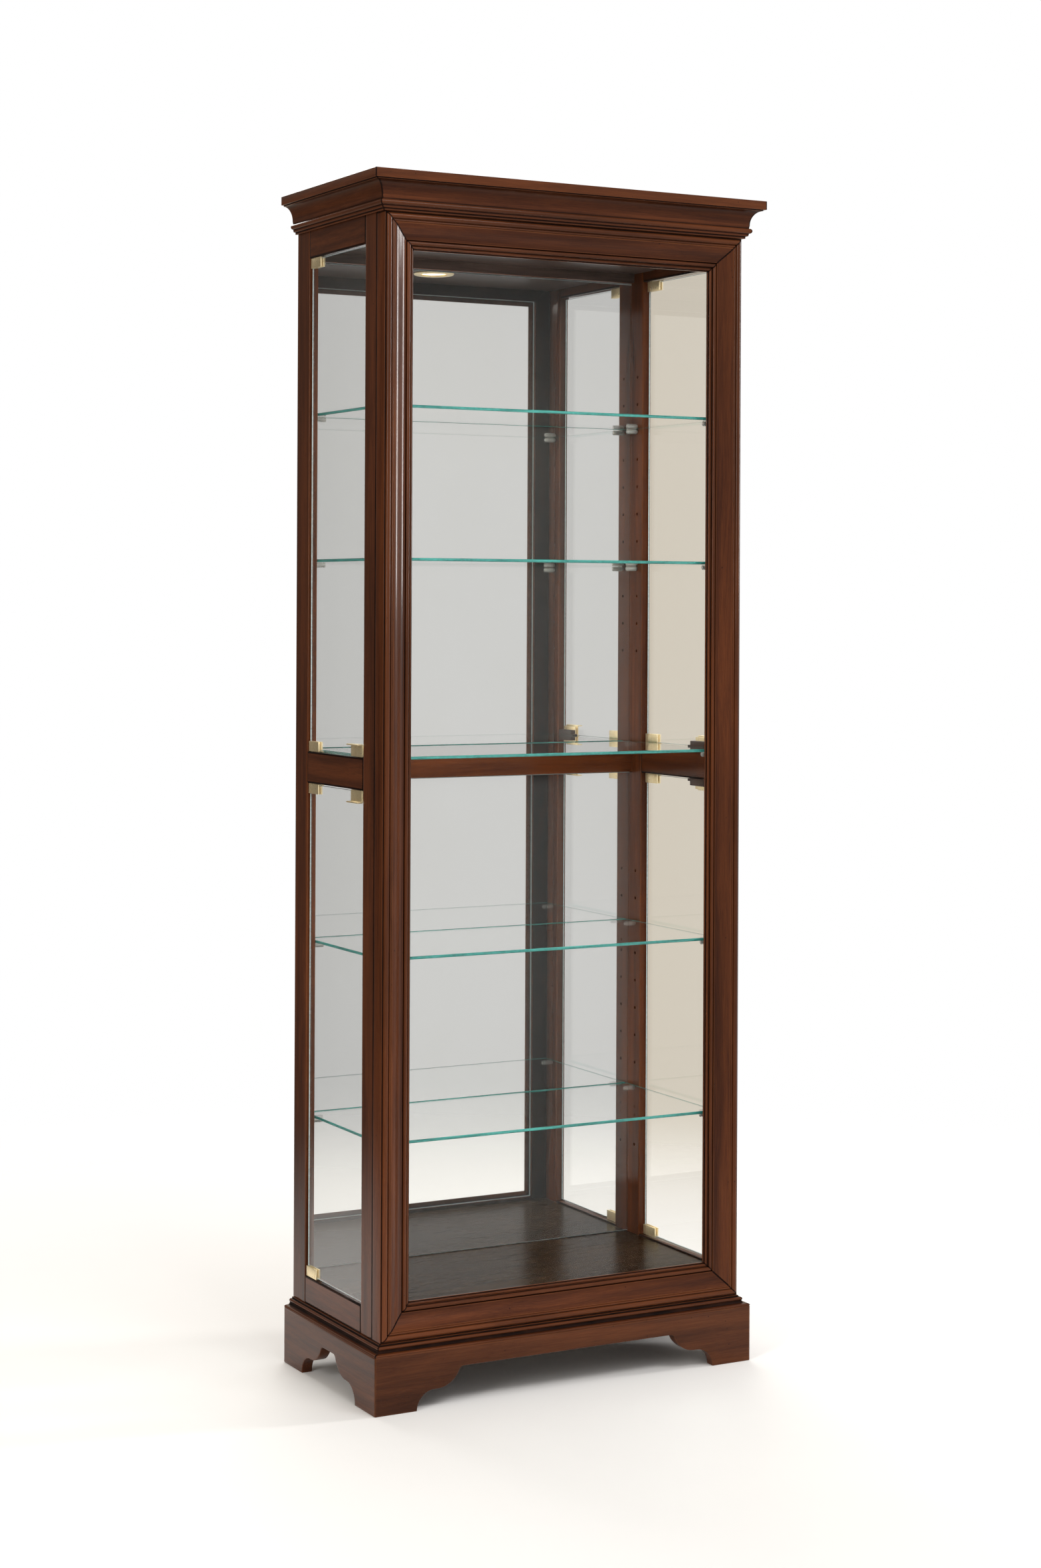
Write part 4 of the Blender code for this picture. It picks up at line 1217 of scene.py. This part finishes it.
def hinge(node, body, sign, railZ, away):
    looks = hingeLooks
    outer, inner = glassOuter - looks["outer"], glassInner + looks["inner"]
    web, slotZ = railZ + away * looks["railGap"], railZ + away * endGap
    tip = web + away * looks["height"]
    outline = [(outer, web), (inner, web), (inner, tip), (glassInner, tip), (glassInner, slotZ)]
    outline += [(glassOuter, slotZ), (glassOuter, tip), (outer, tip)]
    bm, middle = channel(node, sign, outline, looks["arris"])
    overlap = 0.0005
    start = (sign * pivotX, pivotY, web + away * overlap)
    addCylinder(bm, start, (0, 0, -away), looks["pinLength"] + overlap, looks["pin"], 28)
    x, z = sign * (caseHalf - inner + 0.0003), web + away * looks["height"] * 0.60
    for shift in (-0.5, 0.5):
        y = middle + shift * looks["screwSpacing"]
        addScrew(bm, (x, y, z), (-sign, 0, 0), looks["screw"], 0.0002)
    return mount(toObject(node, bm, brass, 42.0), body, "aged_brass", node)


def pull(node, body, sign, railZ, away):
    looks = pullLooks
    face, inner = glassOuter - looks["plate"], glassInner + looks["plate"]
    web, slotZ = railZ + away * hingeLooks["railGap"], railZ + away * endGap
    tip, innerTip = web + away * looks["height"], web + away * looks["inner"]
    lip, under = face - looks["lip"], tip - away * looks["lipThick"]
    outline = [(face, web), (inner, web), (inner, innerTip), (glassInner, innerTip), (glassInner, slotZ)]
    outline += [(glassOuter, slotZ), (glassOuter, tip), (lip, tip), (lip, under), (face, under)]
    bm, _ = channel(node, sign, outline, looks["arris"])
    return mount(toObject(node, bm, brass, 42.0), body, "aged_brass", node)


def catch(node, away):
    looks = catchLooks
    low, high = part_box(node)
    foot, tip = (low.z, high.z) if away > 0 else (high.z, low.z)
    rear, step = high.y - looks["tab"], foot + away * looks["tabHeight"]
    outline = [(low.y, foot), (high.y, foot), (high.y, step), (rear, step), (rear, tip), (low.y, tip)]
    bm = rounded(prismMesh(*[[(x, y, z) for y, z in outline] for x in (low.x, high.x)]), looks["arris"])
    mount(toObject(node, bm, moulded["brownPlastic"], 42.0), root, "brown_plastic", node)
    screws = bmesh.new()
    centre = ((low.x + high.x) / 2, rear + looks["tab"] / 2, step - away * 0.0001)
    addScrew(screws, centre, (0, 0, away), looks["screw"], 0.0003)
    mount(toObject(f"{node}_screw", screws, steel, 50.0), root, "lamp_metal")


for side, sign in sides.items():
    for level, lowRail, highRail in (("upper", "middle", "top"), ("lower", "bottom", "middle")):
        body = f"door_{level}_{side}"
        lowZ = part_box(f"side_rail_{lowRail}_{side}")[1].z
        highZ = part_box(f"side_rail_{highRail}_{side}")[0].z
        hinge(f"hinge_{level}_{side}_bottom", body, sign, lowZ, 1)
        hinge(f"hinge_{level}_{side}_top", body, sign, highZ, -1)
        railZ, away = (lowZ, 1) if level == "upper" else (highZ, -1)
        pull(f"pull_{level}_{side}", body, sign, railZ, away)
        catch(f"catch_{level}_{side}", away)
print("fittings made")

# ---- studio

studioLooks = {
    "floor": (0.90, 0.896, 0.89),
    "floorSize": 6.0,
    "floorFade": (0.7, 2.6),
    # for each light: its place, where it aims, its size and its power
    "sideBox": ((4.0, -0.9, 2.1), (0.0, 0.0, 1.5), (0.42, 1.5), 66.0),
    "overheadBox": ((0.4, -2.9, 3.9), (0.0, 0.0, 0.6), (2.4, 1.2), 62.0),
    "leftBox": ((-3.4, -2.0, 2.2), (0.0, 0.0, 1.0), (0.8, 2.0), 54.0),
    "backBox": ((0.6, 3.4, 3.4), (0.4, 1.2, 0.0), (3.5, 1.6), 90.0),
    "lampPower": 1.3,
    "lampColour": (1.0, 0.80, 0.52),
    # the soft light all round: dim at one end of this direction, warm between, bright at the other
    "worldLean": (0.75, -0.66, 0.12),
    "worldRamp": (
        (0.0, (0.055, 0.052, 0.050)),
        (0.44, (0.66, 0.585, 0.475)),
        (0.75, (0.68, 0.672, 0.665)),
    ),
}


def studioFloor(looks):
    made, tree = newTree("studioFloor")
    place = objectPlace(tree)
    mottle = noise(tree, place, 1.4, 4.0)
    fineGrain = noise(tree, place, 260.0, 2.0)
    pale = looks["floor"]
    colour = mixColour(tree, remap(tree, mottle, 0.3, 0.7), rgb(pale), rgb([c * 1.03 for c in pale]))
    bump = bumped(tree, fineGrain, 0.05, 0.0005)
    values = {"Base Color": colour, "Roughness": 0.62, "Specular IOR Level": 0.35, "Normal": bump}
    # far out the floor melts into the pale background
    far = put(tree, "ShaderNodeVectorMath", {0: place}, operation="LENGTH").outputs["Value"]
    clear = put(tree, "ShaderNodeBsdfTransparent")
    share = remap(tree, far, *looks["floorFade"], smooth=True)
    finishTree(tree, mixShader(tree, share, principled(tree, values), clear.outputs[0]))
    bm = bmesh.new()
    bmesh.ops.create_circle(bm, cap_ends=True, segments=96, radius=looks["floorSize"])
    floor = newObject("floor", meshFrom("floor", bm, made))


def areaLight(name, place, aim, size, power, colour=(1.0, 0.985, 0.965)):
    light = bpy.data.lights.new(name, "AREA")
    light.shape = "RECTANGLE"
    light.size, light.size_y = size
    light.energy = power
    light.color = colour
    obj = newObject(name, light)
    obj.location = place
    obj.rotation_euler = (Vector(aim) - Vector(place)).to_track_quat("-Z", "Y").to_euler()


def studioWorld(looks):
    world = bpy.data.worlds.new("studio")
    world.use_nodes = True
    tree = world.node_tree
    tree.nodes.clear()
    way = put(tree, "ShaderNodeTexCoord").outputs["Generated"]
    lean = put(tree, "ShaderNodeVectorMath", {0: way, 1: looks["worldLean"]}, operation="DOT_PRODUCT")
    ramp = put(tree, "ShaderNodeValToRGB", {"Fac": remap(tree, lean.outputs["Value"], -0.95, 0.65)})
    stops = ramp.color_ramp.elements
    (first, dim), (second, warm), (third, bright) = looks["worldRamp"]
    stops[0].position, stops[0].color = first, rgb(dim)
    stops[1].position, stops[1].color = third, rgb(bright)
    stops.new(second).color = rgb(warm)
    soft = put(tree, "ShaderNodeBackground", {"Color": ramp.outputs["Color"], "Strength": 1.0})
    seen = put(tree, "ShaderNodeBackground", {"Color": (1.0, 1.0, 1.0, 1), "Strength": 1.0})
    direct = put(tree, "ShaderNodeLightPath").outputs["Is Camera Ray"]
    mixed = mixShader(tree, direct, soft.outputs[0], seen.outputs[0])
    put(tree, "ShaderNodeOutputWorld", {"Surface": mixed})
    bpy.context.scene.world = world


studioFloor(studioLooks)
studioWorld(studioLooks)
for name in ("sideBox", "overheadBox", "leftBox", "backBox"):
    areaLight(name, *studioLooks[name])
glow = bpy.data.lights.new("lampGlow", "SPOT")
glow.energy = studioLooks["lampPower"]
glow.color = studioLooks["lampColour"]
glow.spot_size = math.radians(150)
glow.spot_blend = 0.9
glow.shadow_soft_size = 0.02
newObject("lampGlow", glow).location = (lampX, lampY, ceilingFoot - 0.008)

cameraLooks = {
    "lens": 62.467,
    "shift": -0.1158,
    "place": (-2.2752, -4.1739, 1.3273),
    "turns": ((-28.542, "Z"), (90.0, "X"), (0.2654, "Z")),  # heading, level, and a slight roll
}
camera = bpy.data.cameras.new("camera")
camera.lens = cameraLooks["lens"]
camera.sensor_width = 36.0
camera.sensor_fit = "AUTO"
camera.shift_y = cameraLooks["shift"]
camera.clip_end = 100.0
cameraPlace = newObject("camera", camera)
cameraPlace.location = cameraLooks["place"]
heading, level, roll = [Matrix.Rotation(math.radians(turn), 4, axis) for turn, axis in cameraLooks["turns"]]
cameraPlace.rotation_euler = (heading @ level @ roll).to_euler()
bpy.context.scene.camera = cameraPlace

scene = bpy.context.scene
scene.view_settings.view_transform = "Standard"
scene.cycles.max_bounces = 32
scene.cycles.transmission_bounces = 32
scene.cycles.glossy_bounces = 12
scene.cycles.transparent_max_bounces = 32
scene.cycles.diffuse_bounces = 4
scene.cycles.sample_clamp_indirect = 2.5
print("studio made")
